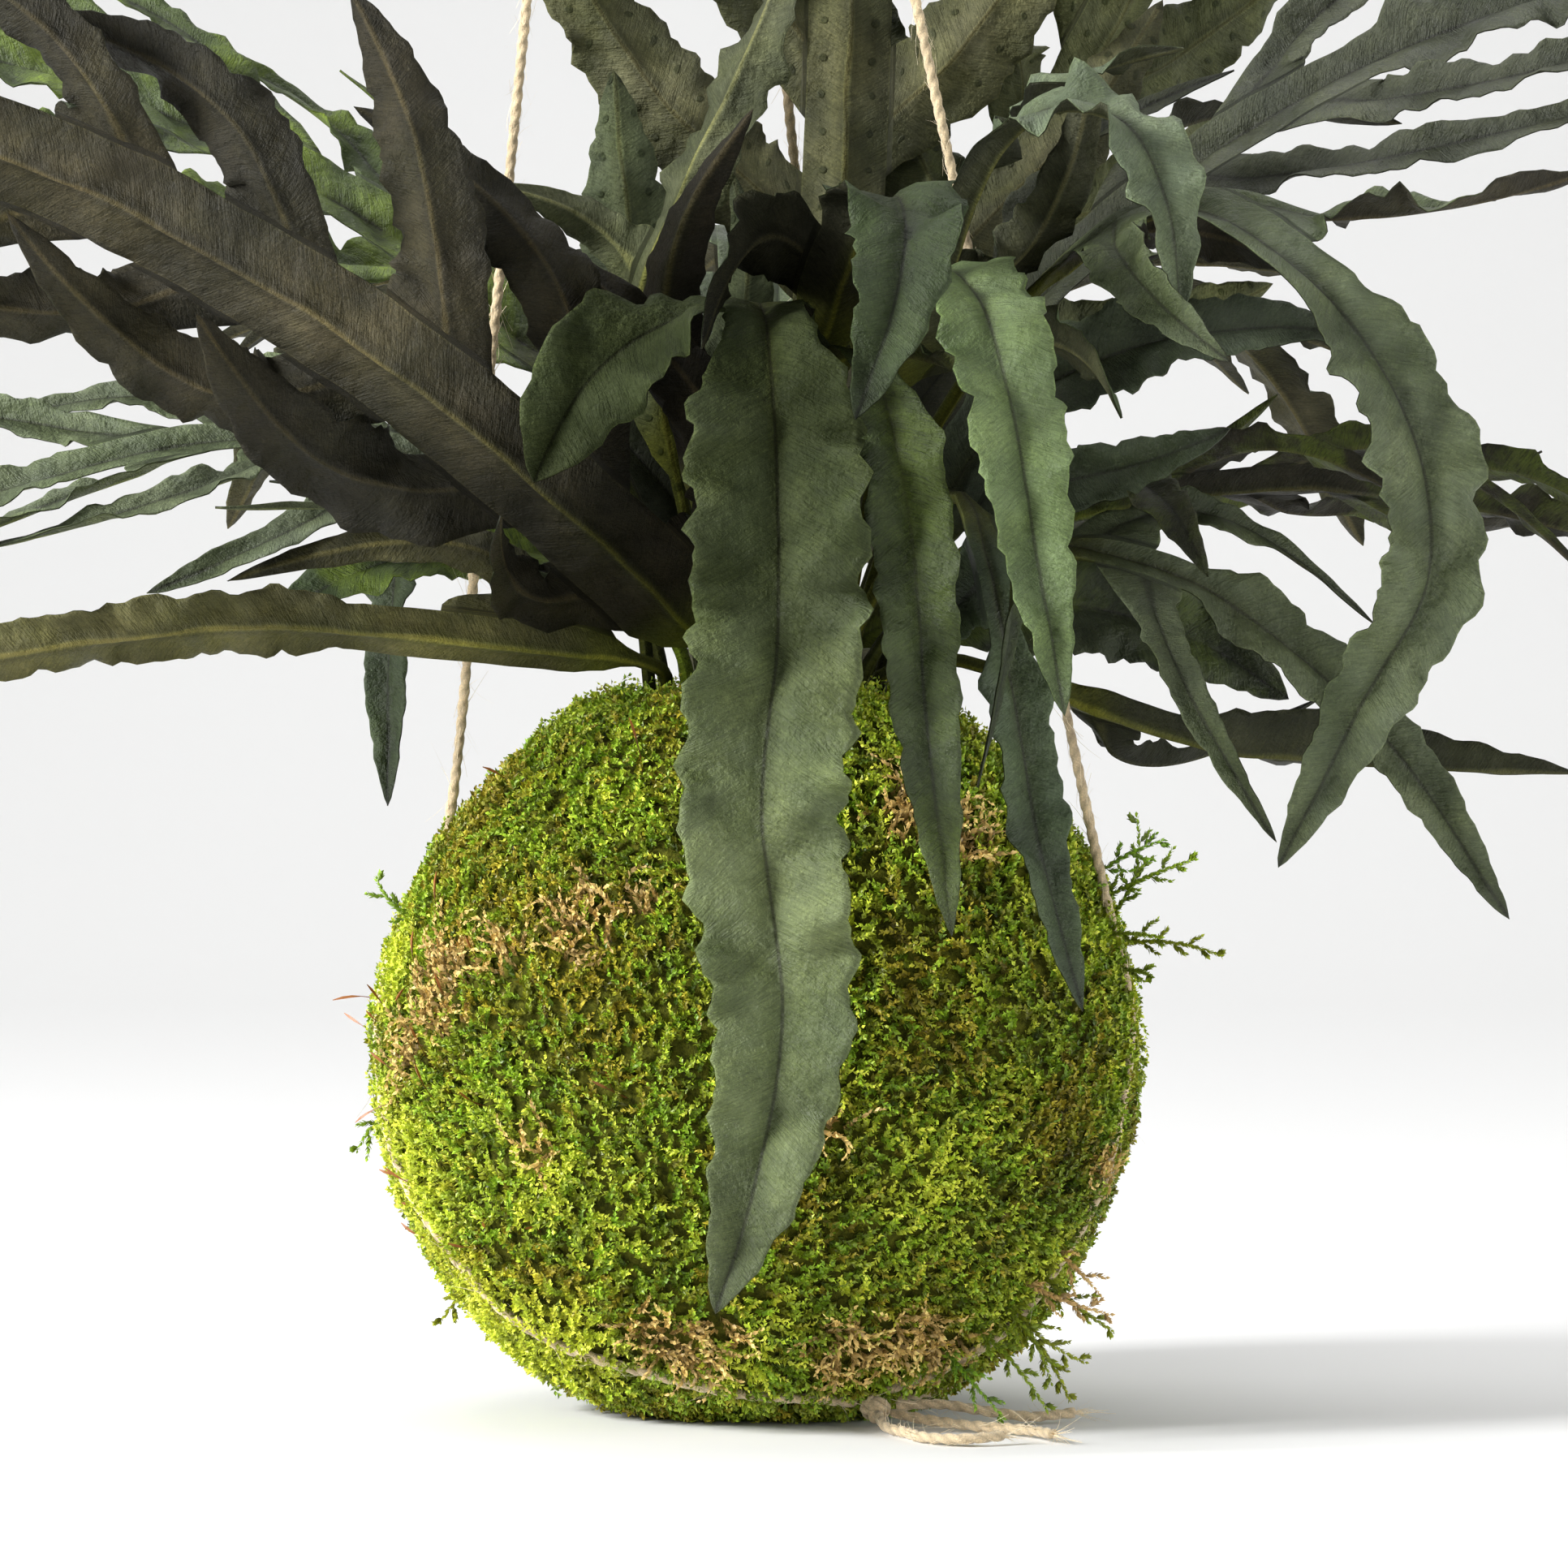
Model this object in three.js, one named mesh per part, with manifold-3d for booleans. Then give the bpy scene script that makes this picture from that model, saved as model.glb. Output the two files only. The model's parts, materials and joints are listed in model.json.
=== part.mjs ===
// A kokedama: a strap-lobed fern that grows from a ball of soil, which is wrapped in moss and
// bound with jute twine. The twine's three strands rise from the ball to a hanging loop.
// Millimetres, +Z up. The origin is the middle of the small flat spot that the ball rests on,
// +X is to the right and the front is at -Y.
import * as THREE from "three";
import Module from "manifold-3d";
import { mergeVertices } from "three/addons/utils/BufferGeometryUtils.js";

const wasm = await Module();
wasm.setup();

// ---------------------------------------------------------------- driving dimensions
const MOSS_RADIUS = 78;         // the moss carpet's own surface, with its shoots 2 mm more
const BALL_HEIGHT = 75;         // height of the ball's centre, so that its foot is a flat disc
const MOSS_LAYER = 8;           // thickness of the moss
const MOUTH_RADIUS = 31;        // the moss leaves the soil bare inside this, where the stems rise
const GAP = 0.3;                // clearance between two pieces that touch
const SOIL_TOP = 147;
const SOIL_GAP = 2.2;           // between soil and moss, which takes up their lumps and facets
const SOIL_LUMP = 0.8;
const CROWN_FOOT = 120;         // the soil's flat-topped crown reaches down into its ball to here
const CROWN_RADIUS = 28.5;
const STEM_FOOT = 136;          // how deep the stems stand in the soil
const STEM_HOLE = 2.3;          // radius of the hole that each stem stands in
const HOLE_FOOT = 128;          // the holes run down into the hollow round the root stock
const RHIZOME = { radius: 29, height: 129, thickness: 5.5 };

const TWINE_RADIUS = 1.1;
const TWINE_LIFT = 1.6;         // centre line of a strand above the moss carpet
const APEX = [-22, 0, 550];     // the knot that the three strands meet in
const KNOT_RADIUS = 5;
const LOOP_RADIUS = 10;
const FOOT_KNOT = { at: [24, -35, 3.8], radius: 3.6 };

const BLADE_HALF = 0.34;        // half the thickness of a leaf blade
const RIB_HALF = 1.0;           // half the thickness of a frond's main rib
const STEM_HALF = 1.4;          // half the width of a stem below its leaf
const CLEARANCE = 0.45;         // added to each face of a lobe while it looks for a free place
const MOSS_CLEARANCE = 3.5;     // leaves stay this far from the moss surface
const LINE_STEPS = 24;          // steps that carry a lobe's cross direction along it
const TURNS = [0, 7, -7, 14, -14, 22, -22, 31, -31, 42, -42];   // degrees about the rachis
const REACHES = [1, 0.85, 0.7, 0.5, 0.35];                      // shares of a lobe's reach

// ---------------------------------------------------------------- the fronds
// path: where the rachis runs, from its foot in the soil to the leaf's tip.
// faces: the compass direction that the frond leans to, in degrees from +X towards +Y.
// roll: how far its two sides are turned about the rachis, at the foot and at the tip, in degrees.
// blade: the shares of the path where the side lobes begin and where the end lobe begins.
// left, right: the side lobes, looking outwards along the frond. A number is a lobe's length,
// set out by the frond's angles. A list is [x, y, z, width, twist] of a lobe's tip.
// wing, end, width: half the width of the winged rachis, and the widths of the end and side lobes.
// angle: between a lobe and the rachis, at the first pair and at the last, in degrees.
// lift, droop: how far a lobe rises out of the frond's plane, and how far its tip sinks.
// twist: the most that a lobe turns about its own line, in degrees. sharp: how late it narrows.
// wave, fold: how far its margins rise and fall, and how far both stand up, as a share of its width.
// reach: how far along a lobe it bends. ring: the length of a step along it, half a wave.
// under: whether the frond shows its brown underside. seed: the draw for what isn't stated.
const DEFAULTS = {
  seed: 1, under: false, roll: [0, 0], wing: 4.5, width: 16, end: 20, angle: [62, 42], droop: 0.35,
  lift: 0.1, twist: 35, sharp: 3, wave: 2, fold: 0.1, reach: 0.5, ring: 13.5, left: [], right: [],
};
const FRONDS = [
  {
    name: "front_centre", faces: -90, blade: [0.32, 0.39], wing: 8, end: 36, width: 24, wave: 3,
    sharp: 5,
    path: [[0, -9], [-2, -22, 190], [0, -50, 226], [2, -80, 222], [4, -94, 190], [4, -97, 160],
      [1, -97, 126], [5, -96, 87], [0, -96, 55], [-8, -97, 29]],
    left: [[15, -62, 196, 12, -30]],
    right: [[-44, -80, 191, 28, -75]],
  },
  {
    name: "centre_fold", faces: -88, blade: [0.48, 0.6], wing: 8, end: 27, width: 18, wave: 3,
    seed: 22, sharp: 2.4,
    path: [[3, -17], [8, -36, 196], [18, -58, 236], [27, -76, 249], [29, -92, 240],
      [26, -101, 222], [19, -103, 202]],
    right: [[-2, -90, 212, 20, 60]],
  },
  {
    name: "front_b", faces: -88, blade: [0.4, 0.52], wing: 4, end: 18, width: 14, seed: 2,
    path: [[8, -15], [13, -28, 190], [17, -56, 218], [24, -82, 211], [30, -92, 182],
      [33, -93, 145], [38, -93, 102]],
    left: [[43, -90, 131, 14, 20]],
  },
  {
    name: "front_c", faces: -80, blade: [0.36, 0.5], wing: 11, end: 23, width: 16, seed: 3,
    path: [[12, -8], [22, -18, 200], [35, -44, 236], [44, -72, 229], [50, -88, 206],
      [55, -92, 175], [60, -92, 145]],
    left: [[72, -76, 204, 15]],
  },
  {
    name: "front_d", faces: -62, blade: [0.45, 0.6], wing: 3.5, end: 15, width: 12, seed: 4,
    path: [[16, -19], [28, -26, 178], [40, -52, 190], [46, -70, 176], [51, -77, 150],
      [56, -81, 120], [64, -82, 87]],
    left: [[78, -62, 160, 11]],
    right: [[30, -84, 150, 12]],
  },
  {
    name: "left_big", under: true, faces: 190, roll: [-70, -50], blade: [0.15, 0.8], wing: 11,
    end: 28, width: 19, seed: 5, angle: [60, 50],
    path: [[-8, -18], [-16, -44, 166], [-44, -66, 192], [-74, -72, 216], [-104, -74, 235],
      [-137, -76, 252], [-170, -80, 263], [-205, -84, 270]],
    left: [[-52, -52, 246, 17, 10], [-73, -60, 274, 19, 10], [-81, -66, 290, 20, 10],
      [-150, -60, 286, 18], [-188, -62, 300, 14]],
    right: [[-50, -90, 184, 15], [-109, -95, 223, 24, 20], [-146, -92, 243, 20],
      [-190, -96, 236, 18], [-212, -90, 246, 12]],
  },
  {
    name: "left_low", under: true, faces: 178, roll: [-60, -60], blade: [0.2, 0.46], wing: 5.5,
    end: 15, width: 9, seed: 6, sharp: 4,
    path: [[-19, -13], [-24, -28, 157], [-58, -44, 161], [-98, -60, 164], [-130, -69, 161],
      [-166, -74, 155], [-190, -76, 152]],
    left: [[-108, -42, 173, 10]],
  },
  {
    name: "left_mid", faces: 184, roll: [30, 40], blade: [0.3, 0.72], wing: 5, end: 13, width: 12,
    seed: 7, sharp: 4,
    path: [[-23, -4], [-30, -10, 182], [-70, -22, 200], [-110, -30, 203], [-150, -36, 194],
      [-196, -40, 180]],
    left: [[-112, -50, 184, 10], [-122, -56, 172, 10], [-160, -58, 178, 10], [-192, -58, 164, 9]],
    right: [[-104, -6, 219, 14], [-134, -8, 212, 15], [-158, -14, 207, 11], [-196, -24, 210, 10]],
  },
  {
    name: "upper_left", faces: 176, roll: [25, 35], blade: [0.34, 0.76], wing: 10, end: 26,
    width: 15, seed: 8,
    path: [[-15, 3], [-30, 14, 200], [-62, 18, 238], [-95, 16, 260], [-130, 12, 277],
      [-165, 6, 287], [-205, 0, 292]],
    left: [[-90, -14, 226, 12], [-146, -18, 250, 16], [-180, -20, 256, 16], [-212, -20, 268, 12]],
    right: [[-92, 46, 288, 11], [-128, 42, 294, 12], [-165, 44, 308, 13], [-198, 36, 318, 12]],
  },
  {
    name: "left_hang", faces: 165, roll: [0, 90], blade: [0.42, 0.55], wing: 4, end: 15, width: 11,
    seed: 9,
    path: [[-20, 10], [-30, 18, 182], [-58, 26, 205], [-75, 28, 198], [-80, 26, 165],
      [-80, 24, 127]],
    left: [[-104, 8, 196, 10]],
    right: [[-78, 60, 190, 11]],
  },
  {
    name: "upright_back", faces: -90, blade: [0.3, 0.84], wing: 9, end: 26, width: 25, seed: 10,
    angle: [52, 40], droop: -0.02, twist: 15, lift: 0.0, wave: 1.6,
    path: [[2, 7], [8, 14, 190], [16, 24, 235], [19, 30, 280], [20, 34, 330], [19, 32, 380],
      [14, 24, 432]],
    left: [92, 88, 70, 48],
    right: [104, 92, 74, 52],
  },
  {
    name: "right_up", faces: -50, blade: [0.36, 0.76], wing: 8, end: 24, width: 22, seed: 11,
    angle: [52, 40], droop: 0.05, twist: 20, lift: 0.0,
    path: [[10, 7], [30, 20, 200], [54, 36, 248], [70, 50, 285], [90, 58, 325], [110, 60, 366]],
    left: [84, 80, 60],
    right: [78, 74, 56],
  },
  {
    name: "centre_pale", faces: -90, blade: [0.45, 0.6], wing: 6, end: 24, width: 14, seed: 23,
    wave: 1.2, sharp: 2.2,
    path: [[-9, 6], [-16, 8, 190], [-24, 11, 226], [-28, 13, 252], [-31, 15, 284]],
    left: [[-6, 8, 262, 15, 10]],
  },
  {
    name: "centre_twist", faces: -120, roll: [0, 25], blade: [0.42, 0.56], wing: 5, end: 20,
    width: 14, seed: 12,
    path: [[-6, 0], [-10, -4, 190], [-24, -10, 230], [-14, -12, 256], [-5, -12, 275],
      [4, -11, 296], [12, -8, 330]],
    left: [[-22, -34, 206, 12]],
    right: [[-58, -20, 256, 11, 60]],
  },
  {
    name: "centre_spear", faces: -110, blade: [0.38, 0.5], wing: 5, end: 16, seed: 24, wave: 1,
    sharp: 2, fold: 0.5,
    path: [[-7, -8], [-12, -24, 196], [-19, -35, 226], [-14, -40, 248], [-1, -42, 269]],
  },
  {
    name: "right_frill", faces: -35, roll: [0, -30], blade: [0.42, 0.66], wing: 9, end: 20,
    width: 16, seed: 25, wave: 4, sharp: 4,
    path: [[17, -9], [24, -12, 196], [37, -28, 236], [48, -44, 262], [60, -58, 269],
      [74, -67, 264], [82, -71, 247], [84, -71, 225]],
    left: [[66, -34, 282, 14, 30], [86, -52, 274, 16, 40]],
  },
  {
    name: "right_arch", faces: -12, roll: [30, -85], blade: [0.34, 0.6], wing: 8, end: 25,
    width: 17, seed: 13, wave: 3,
    path: [[18, -3], [36, -5, 205], [59, -13, 236], [76, -24, 249], [90, -38, 250],
      [106, -54, 239], [122, -62, 221], [133, -66, 196], [134, -66, 172], [121, -66, 148],
      [104, -64, 115]],
    left: [[126, -14, 240, 14, 60], [168, -44, 256, 18, 60]],
    right: [[92, -92, 214, 15, 40]],
  },
  {
    name: "right_dark", faces: -6, roll: [-70, -60], blade: [0.28, 0.45], wing: 8, end: 23,
    width: 15, seed: 26, sharp: 2.4,
    path: [[25.5, -3], [36, -1, 186], [52, -2, 210], [76, -8, 223], [104, -18, 227],
      [126, -24, 225]],
    right: [[96, -44, 204, 15]],
  },
  {
    name: "upper_right", faces: 4, roll: [-40, -40], blade: [0.36, 0.7], wing: 7, end: 22,
    width: 10, seed: 14, sharp: 4,
    path: [[17, 6], [36, 8, 205], [64, 6, 240], [90, 4, 262], [125, 2, 283], [160, 0, 297],
      [205, -4, 308]],
    left: [[104, 26, 284, 9], [137, 28, 276, 13, 70], [190, 26, 322, 12]],
    right: [[120, -24, 280, 9], [205, -34, 280, 11], [216, -30, 296, 13]],
  },
  {
    name: "right_mid", faces: 6, roll: [20, 30], blade: [0.3, 0.74], wing: 6, end: 15, width: 13,
    seed: 15,
    path: [[24, 3], [42, 7, 180], [76, 10, 192], [115, 8, 196], [150, 6, 192], [196, 2, 180]],
    left: [[112, 30, 216, 13], [140, 40, 212, 13], [170, 36, 204, 13], [200, 30, 198, 11]],
    right: [[90, -48, 180, 14, 50], [140, -36, 186, 13], [172, -36, 172, 12], [200, -30, 160, 11]],
  },
  {
    name: "right_low", faces: -12, roll: [-20, -70], blade: [0.36, 0.5], wing: 4, end: 17,
    width: 9, seed: 16,
    path: [[21, -14], [36, -20, 172], [64, -26, 180], [91, -30, 173], [112, -32, 158],
      [131, -33, 139], [154, -34, 104]],
    left: [[130, 6, 166, 11]],
    right: [[104, -60, 120, 9, 50]],
  },
  {
    name: "right_flat", faces: 0, roll: [50, 30], blade: [0.36, 0.5], wing: 4, end: 17, width: 10,
    seed: 17, fold: 0.5,
    path: [[24, -9], [38, -8, 158], [64, -10, 150], [92, -12, 141], [130, -14, 137],
      [170, -16, 134]],
    left: [[120, 20, 150, 10]],
  },
  {
    name: "back_left", faces: 130, blade: [0.34, 0.78], wing: 6, end: 18, width: 14, seed: 18,
    path: [[-12, 14], [-24, 40, 205], [-48, 72, 240], [-78, 100, 246], [-106, 124, 228],
      [-126, 142, 192]],
    left: [56, 60, 52, 42],
    right: [58, 62, 54, 44],
  },
  {
    name: "back_centre", faces: 95, blade: [0.36, 0.78], wing: 6, end: 18, width: 15, seed: 19,
    path: [[-2, 18], [-2, 50, 215], [-4, 92, 256], [-4, 132, 256], [-2, 165, 228], [2, 184, 186]],
    left: [60, 62, 50],
    right: [62, 64, 52],
  },
  {
    name: "back_right", faces: 48, blade: [0.34, 0.78], wing: 6, end: 18, width: 14, seed: 20,
    path: [[10, 17], [28, 48, 205], [56, 80, 246], [94, 100, 246], [122, 124, 224],
      [142, 142, 188]],
    left: [58, 62, 50],
    right: [56, 60, 50],
  },
  {
    name: "back_low", faces: 100, blade: [0.4, 0.6], wing: 5, end: 18, width: 14, seed: 21,
    path: [[3, 24], [4, 48, 178], [6, 82, 188], [6, 104, 168], [4, 110, 130], [2, 108, 88]],
    left: [52, 44],
    right: [54, 46],
  },
  {
    name: "inner_left", faces: 180, roll: [30, 60], blade: [0.3, 0.42], wing: 6, end: 22,
    width: 12, seed: 27,
    path: [[-14.5, -4.5], [-17, -3, 161], [-24, 0.5, 172], [-38, 5, 179], [-58, 11, 183],
      [-82, 11, 179], [-106, 8, 166]],
  },
  {
    name: "inner_centre", faces: 0, roll: [-90, -90], blade: [0.42, 0.52], wing: 8, end: 27,
    width: 14, seed: 28, sharp: 4, wave: 1.2,
    path: [[6, 0], [8, 6, 170], [14, 12, 187], [25, 14, 203], [38, 16, 218], [48, 18, 233]],
  },
  {
    name: "inner_right", faces: 0, roll: [-90, -70], blade: [0.3, 0.42], wing: 8, end: 24,
    width: 16, seed: 29, sharp: 4,
    path: [[4.5, 12.5], [12, 14, 157], [28, 14, 166], [46, 15, 170], [70, 19, 170], [96, 24, 162],
      [114, 25, 150]],
  },
  {
    name: "inner_back", faces: 180, roll: [90, 90], blade: [0.42, 0.54], wing: 7, end: 24,
    width: 14, seed: 30, sharp: 4, wave: 1.2,
    path: [[-4.5, 12.5], [-4, 19, 166], [-9, 23, 180], [-21, 24, 196], [-34, 23, 211]],
  },
];

// ---------------------------------------------------------------- materials
const material = (color, roughness) => new THREE.MeshStandardMaterial({ color, roughness, metalness: 0 });
const MOSS = material("#5f7a1e", 0.95);
const SOIL = material("#2c2119", 1.0);
const ROOT = material("#6b4a2c", 0.9);
const TWINE = material("#b59a72", 0.95);
const LEAF = material("#3f5a45", 0.7);
const LEAF_UNDER = material("#4a463c", 0.75);

// ---------------------------------------------------------------- small helpers
const vector = (xyz) => new THREE.Vector3(...xyz);
const radians = THREE.MathUtils.degToRad;
const CENTRE = new THREE.Vector3(0, 0, BALL_HEIGHT);

function rand(seed, index) {
  const wave = Math.sin(seed * 12.9898 + index * 78.233) * 43758.5453;
  return wave - Math.floor(wave);
}

function smooth(share) {
  const x = Math.min(Math.max(share, 0), 1);
  return x * x * (3 - 2 * x);
}

function toSolid(points, triangles) {
  const vertProperties = new Float32Array(points.flatMap((p) => [p.x, p.y, p.z]));
  const triVerts = new Uint32Array(triangles);
  return new wasm.Manifold(new wasm.Mesh({ numProp: 3, vertProperties, triVerts }));
}

function solidOf(geometry) {
  const bare = geometry.clone();
  bare.deleteAttribute("normal");
  bare.deleteAttribute("uv");
  const merged = mergeVertices(bare, 1e-4);
  const vertProperties = new Float32Array(merged.attributes.position.array);
  const triVerts = new Uint32Array(merged.index.array);
  return new wasm.Manifold(new wasm.Mesh({ numProp: 3, vertProperties, triVerts }));
}

function meshOf(solid, name, look) {
  const { numProp, vertProperties, triVerts } = solid.getMesh();
  const positions = new Float32Array((vertProperties.length / numProp) * 3);
  for (let i = 0; i < positions.length / 3; i += 1) {
    positions.set(vertProperties.subarray(i * numProp, i * numProp + 3), i * 3);
  }
  const geometry = new THREE.BufferGeometry();
  geometry.setAttribute("position", new THREE.BufferAttribute(positions, 3));
  geometry.setIndex(Array.from(triVerts));
  geometry.computeVertexNormals();
  const mesh = new THREE.Mesh(geometry, look);
  mesh.name = name;
  return mesh;
}

// ---------------------------------------------------------------- the ball
// The moss surface is a sphere with broad lumps, cut flat at the foot.
function mossRadius(direction) {
  const { x, y, z } = direction;
  const lumps = Math.sin(5.1 * x + 2.3 * z + 0.4) * Math.sin(4.3 * y - 1.7 * z + 1.1)
    + 0.6 * Math.sin(9.7 * z + 3.1 * x) * Math.sin(8.3 * x - 6.1 * y + 0.7);
  return MOSS_RADIUS + 1.1 * lumps;
}

function mossPoint(azimuth, elevation, lift = 0) {
  const direction = new THREE.Vector3(
    Math.cos(elevation) * Math.cos(azimuth), Math.cos(elevation) * Math.sin(azimuth), Math.sin(elevation));
  return CENTRE.clone().addScaledVector(direction, mossRadius(direction) + lift);
}

// A body of rings about the Z axis with a point at each end.
function ringBody(bottom, rings, top) {
  const around = rings[0].length;
  const points = [bottom, ...rings.flat(), top];
  const at = (ring, step) => 1 + ring * around + (step % around);
  const triangles = [];
  for (let k = 0; k < around; k += 1) {
    triangles.push(0, at(0, k + 1), at(0, k));
    triangles.push(points.length - 1, at(rings.length - 1, k), at(rings.length - 1, k + 1));
    for (let r = 0; r + 1 < rings.length; r += 1) {
      triangles.push(at(r, k), at(r, k + 1), at(r + 1, k + 1));
      triangles.push(at(r, k), at(r + 1, k + 1), at(r + 1, k));
    }
  }
  return toSolid(points, triangles);
}

const MOSS_AROUND = 36;
const turnOf = (step, around) => (step / around) * Math.PI * 2;

function mossCover() {
  const outerRows = 20;
  const innerRows = 8;
  const inner = MOSS_RADIUS - MOSS_LAYER;
  const rimElevation = Math.acos(MOUTH_RADIUS / MOSS_RADIUS);
  const rings = [];
  for (let row = 1; row <= outerRows; row += 1) {
    const elevation = -Math.PI / 2 + (rimElevation + Math.PI / 2) * (row / outerRows);
    rings.push(Array.from({ length: MOSS_AROUND }, (_, k) => {
      const point = mossPoint(turnOf(k, MOSS_AROUND), elevation);
      point.z = Math.max(point.z, 0);
      return point;
    }));
  }
  for (let row = innerRows; row >= 1; row -= 1) {
    const elevation = -Math.PI / 2 + (rimElevation + Math.PI / 2) * (row / innerRows);
    const radius = row === innerRows ? MOUTH_RADIUS : inner * Math.cos(elevation);
    rings.push(Array.from({ length: MOSS_AROUND }, (_, k) => new THREE.Vector3(
      radius * Math.cos(turnOf(k, MOSS_AROUND)), radius * Math.sin(turnOf(k, MOSS_AROUND)),
      BALL_HEIGHT + inner * Math.sin(elevation))));
  }
  const bottom = new THREE.Vector3(0, 0, 0);
  const innerBottom = new THREE.Vector3(0, 0, BALL_HEIGHT - inner);
  return ringBody(bottom, rings, innerBottom);
}

function rhizomeBody(grow) {
  const rings = [];
  const around = 16;
  for (const elevation of [-60, -25, 15, 50]) {
    rings.push(Array.from({ length: around }, (_, k) => {
      const azimuth = turnOf(k, around);
      const reach = RHIZOME.radius * (0.9 + 0.1 * Math.sin(3 * azimuth + 1) + 0.06 * Math.sin(5 * azimuth));
      const out = (reach + grow) * Math.cos(radians(elevation));
      const up = (RHIZOME.thickness + grow) * Math.sin(radians(elevation));
      return new THREE.Vector3(out * Math.cos(azimuth), out * Math.sin(azimuth), RHIZOME.height + up);
    }));
  }
  const half = RHIZOME.thickness + grow;
  return ringBody(
    new THREE.Vector3(0, 0, RHIZOME.height - half), rings, new THREE.Vector3(0, 0, RHIZOME.height + half));
}

function soilBall() {
  const radius = MOSS_RADIUS - MOSS_LAYER - SOIL_GAP;
  const rings = [];
  const around = 20;
  const rows = 9;
  for (let row = 1; row < rows; row += 1) {
    const elevation = -Math.PI / 2 + (Math.PI * row) / rows;
    rings.push(Array.from({ length: around }, (_, k) => {
      const lumpy = radius - SOIL_LUMP * rand(row, k);
      const azimuth = turnOf(k, around);
      return new THREE.Vector3(
        lumpy * Math.cos(elevation) * Math.cos(azimuth), lumpy * Math.cos(elevation) * Math.sin(azimuth),
        BALL_HEIGHT + lumpy * Math.sin(elevation));
    }));
  }
  const ball = ringBody(
    new THREE.Vector3(0, 0, BALL_HEIGHT - radius), rings, new THREE.Vector3(0, 0, BALL_HEIGHT + radius));
  const post = (x, y, size, foot, top, sides) => {
    const cylinder = new THREE.CylinderGeometry(size, size, top - foot, sides);
    return solidOf(cylinder.rotateX(Math.PI / 2).translate(x, y, (foot + top) / 2));
  };
  const crown = post(0, 0, CROWN_RADIUS, CROWN_FOOT, SOIL_TOP, 24);
  let soil = ball.add(crown).subtract(rhizomeBody(GAP));
  for (const { path: [[x, y]] } of FRONDS) {
    soil = soil.subtract(post(x, y, STEM_HOLE, HOLE_FOOT, SOIL_TOP + 1, 6));
  }
  return soil;
}

// ---------------------------------------------------------------- the twine
// A strand is straight from the knot at the top to the moss, then follows the ball down.
// from: where it leaves the top knot, from that knot's middle. foot: where it meets the foot knot.
// side: the [azimuth, elevation] of its points on the ball, in degrees.
const STRANDS = {
  left: {
    from: [-2.4, -0.6, -5.8], foot: [19.8, -34.7, 5],
    side: [[180, 33], [184, 14], [191, -8], [202, -28], [222, -46], [258, -57], [287, -59.5]],
  },
  right: {
    from: [2.4, -0.6, -5.8], foot: [26.4, -33.4, 7.4],
    side: [[347, 17], [345, 0], [341, -20], [334, -38], [322, -51], [313, -56]],
  },
  back: {
    from: [0, 2.6, -5.8], foot: [24.4, -30.8, 4.6],
    side: [[70, 28], [60, 6], [46, -16], [26, -35], [0, -50], [-26, -58.5], [-42, -60.5]],
  },
};
const TAILS = {
  tail_front: [
    [24.5, -39.4, 3], [26, -48, 1.5], [30, -56, 1.3], [33, -64, 1.3], [41, -70, 1.6], [49, -67, 1.9],
  ],
  tail_middle: [[27.4, -37.6, 3.2], [36, -42, 2], [46, -47, 1.4], [54, -54, 1.6], [59, -64, 1.9]],
  tail_right: [[28.3, -34.2, 4.2], [37, -34, 4.6], [47, -33, 3], [56, -32, 1.8], [65, -29, 2.3]],
};
const ROUND = Array.from({ length: 8 }, (_, k) => new THREE.Vector2(
  TWINE_RADIUS * Math.cos(turnOf(k, 8)), TWINE_RADIUS * Math.sin(turnOf(k, 8))));

function strandPoints({ from, side, foot }) {
  const onBall = new THREE.CatmullRomCurve3(side.map(([azimuth, elevation]) => new THREE.Vector3(
    azimuth, elevation, 0)), false, "catmullrom", 0.5);
  const places = onBall.getPoints(4 * (side.length - 1));
  const down = places.map(({ x, y }) => mossPoint(radians(x), radians(y), TWINE_LIFT));
  const start = vector(APEX).add(vector(from));
  const straight = [0, 0.25, 0.5, 0.75].map((share) => start.clone().lerp(down[0], share));
  return [...straight, ...down, vector(foot)];
}

function tube(points, steps) {
  const path = new THREE.CatmullRomCurve3(points, false, "centripetal");
  return new THREE.ExtrudeGeometry(new THREE.Shape(ROUND), { steps, extrudePath: path, bevelEnabled: false });
}

function knot([x, y, z], radius) {
  return new THREE.IcosahedronGeometry(radius, 1).translate(x, y, z);
}

// ---------------------------------------------------------------- the leaves
// A sheet is a set of points with a half thickness each, and triangles between them.
// Its solid is the sheet pushed out along its normals to both faces, with walls along its edges.
function thicken({ points, halves, triangles }, extra = 0) {
  const normals = points.map(() => new THREE.Vector3());
  const edges = new Map();
  for (let t = 0; t < triangles.length; t += 3) {
    const corners = triangles.slice(t, t + 3);
    const [a, b, c] = corners.map((index) => points[index]);
    const normal = b.clone().sub(a).cross(c.clone().sub(a));
    corners.forEach((index, k) => {
      normals[index].add(normal);
      edges.set(`${index},${corners[(k + 1) % 3]}`, [index, corners[(k + 1) % 3]]);
    });
  }
  normals.forEach((normal) => normal.normalize());
  const push = (sign) => points.map((point, k) => point.clone()
    .addScaledVector(normals[k], sign * (halves[k] + extra)));
  const count = points.length;
  const faces = [];
  for (let t = 0; t < triangles.length; t += 3) {
    const [a, b, c] = triangles.slice(t, t + 3);
    faces.push(a, b, c, c + count, b + count, a + count);
  }
  for (const [a, b] of edges.values()) {
    if (!edges.has(`${b},${a}`)) {
      faces.push(b, a, a + count, b, a + count, b + count);
    }
  }
  return toSolid([...push(1), ...push(-1)], faces);
}

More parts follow.
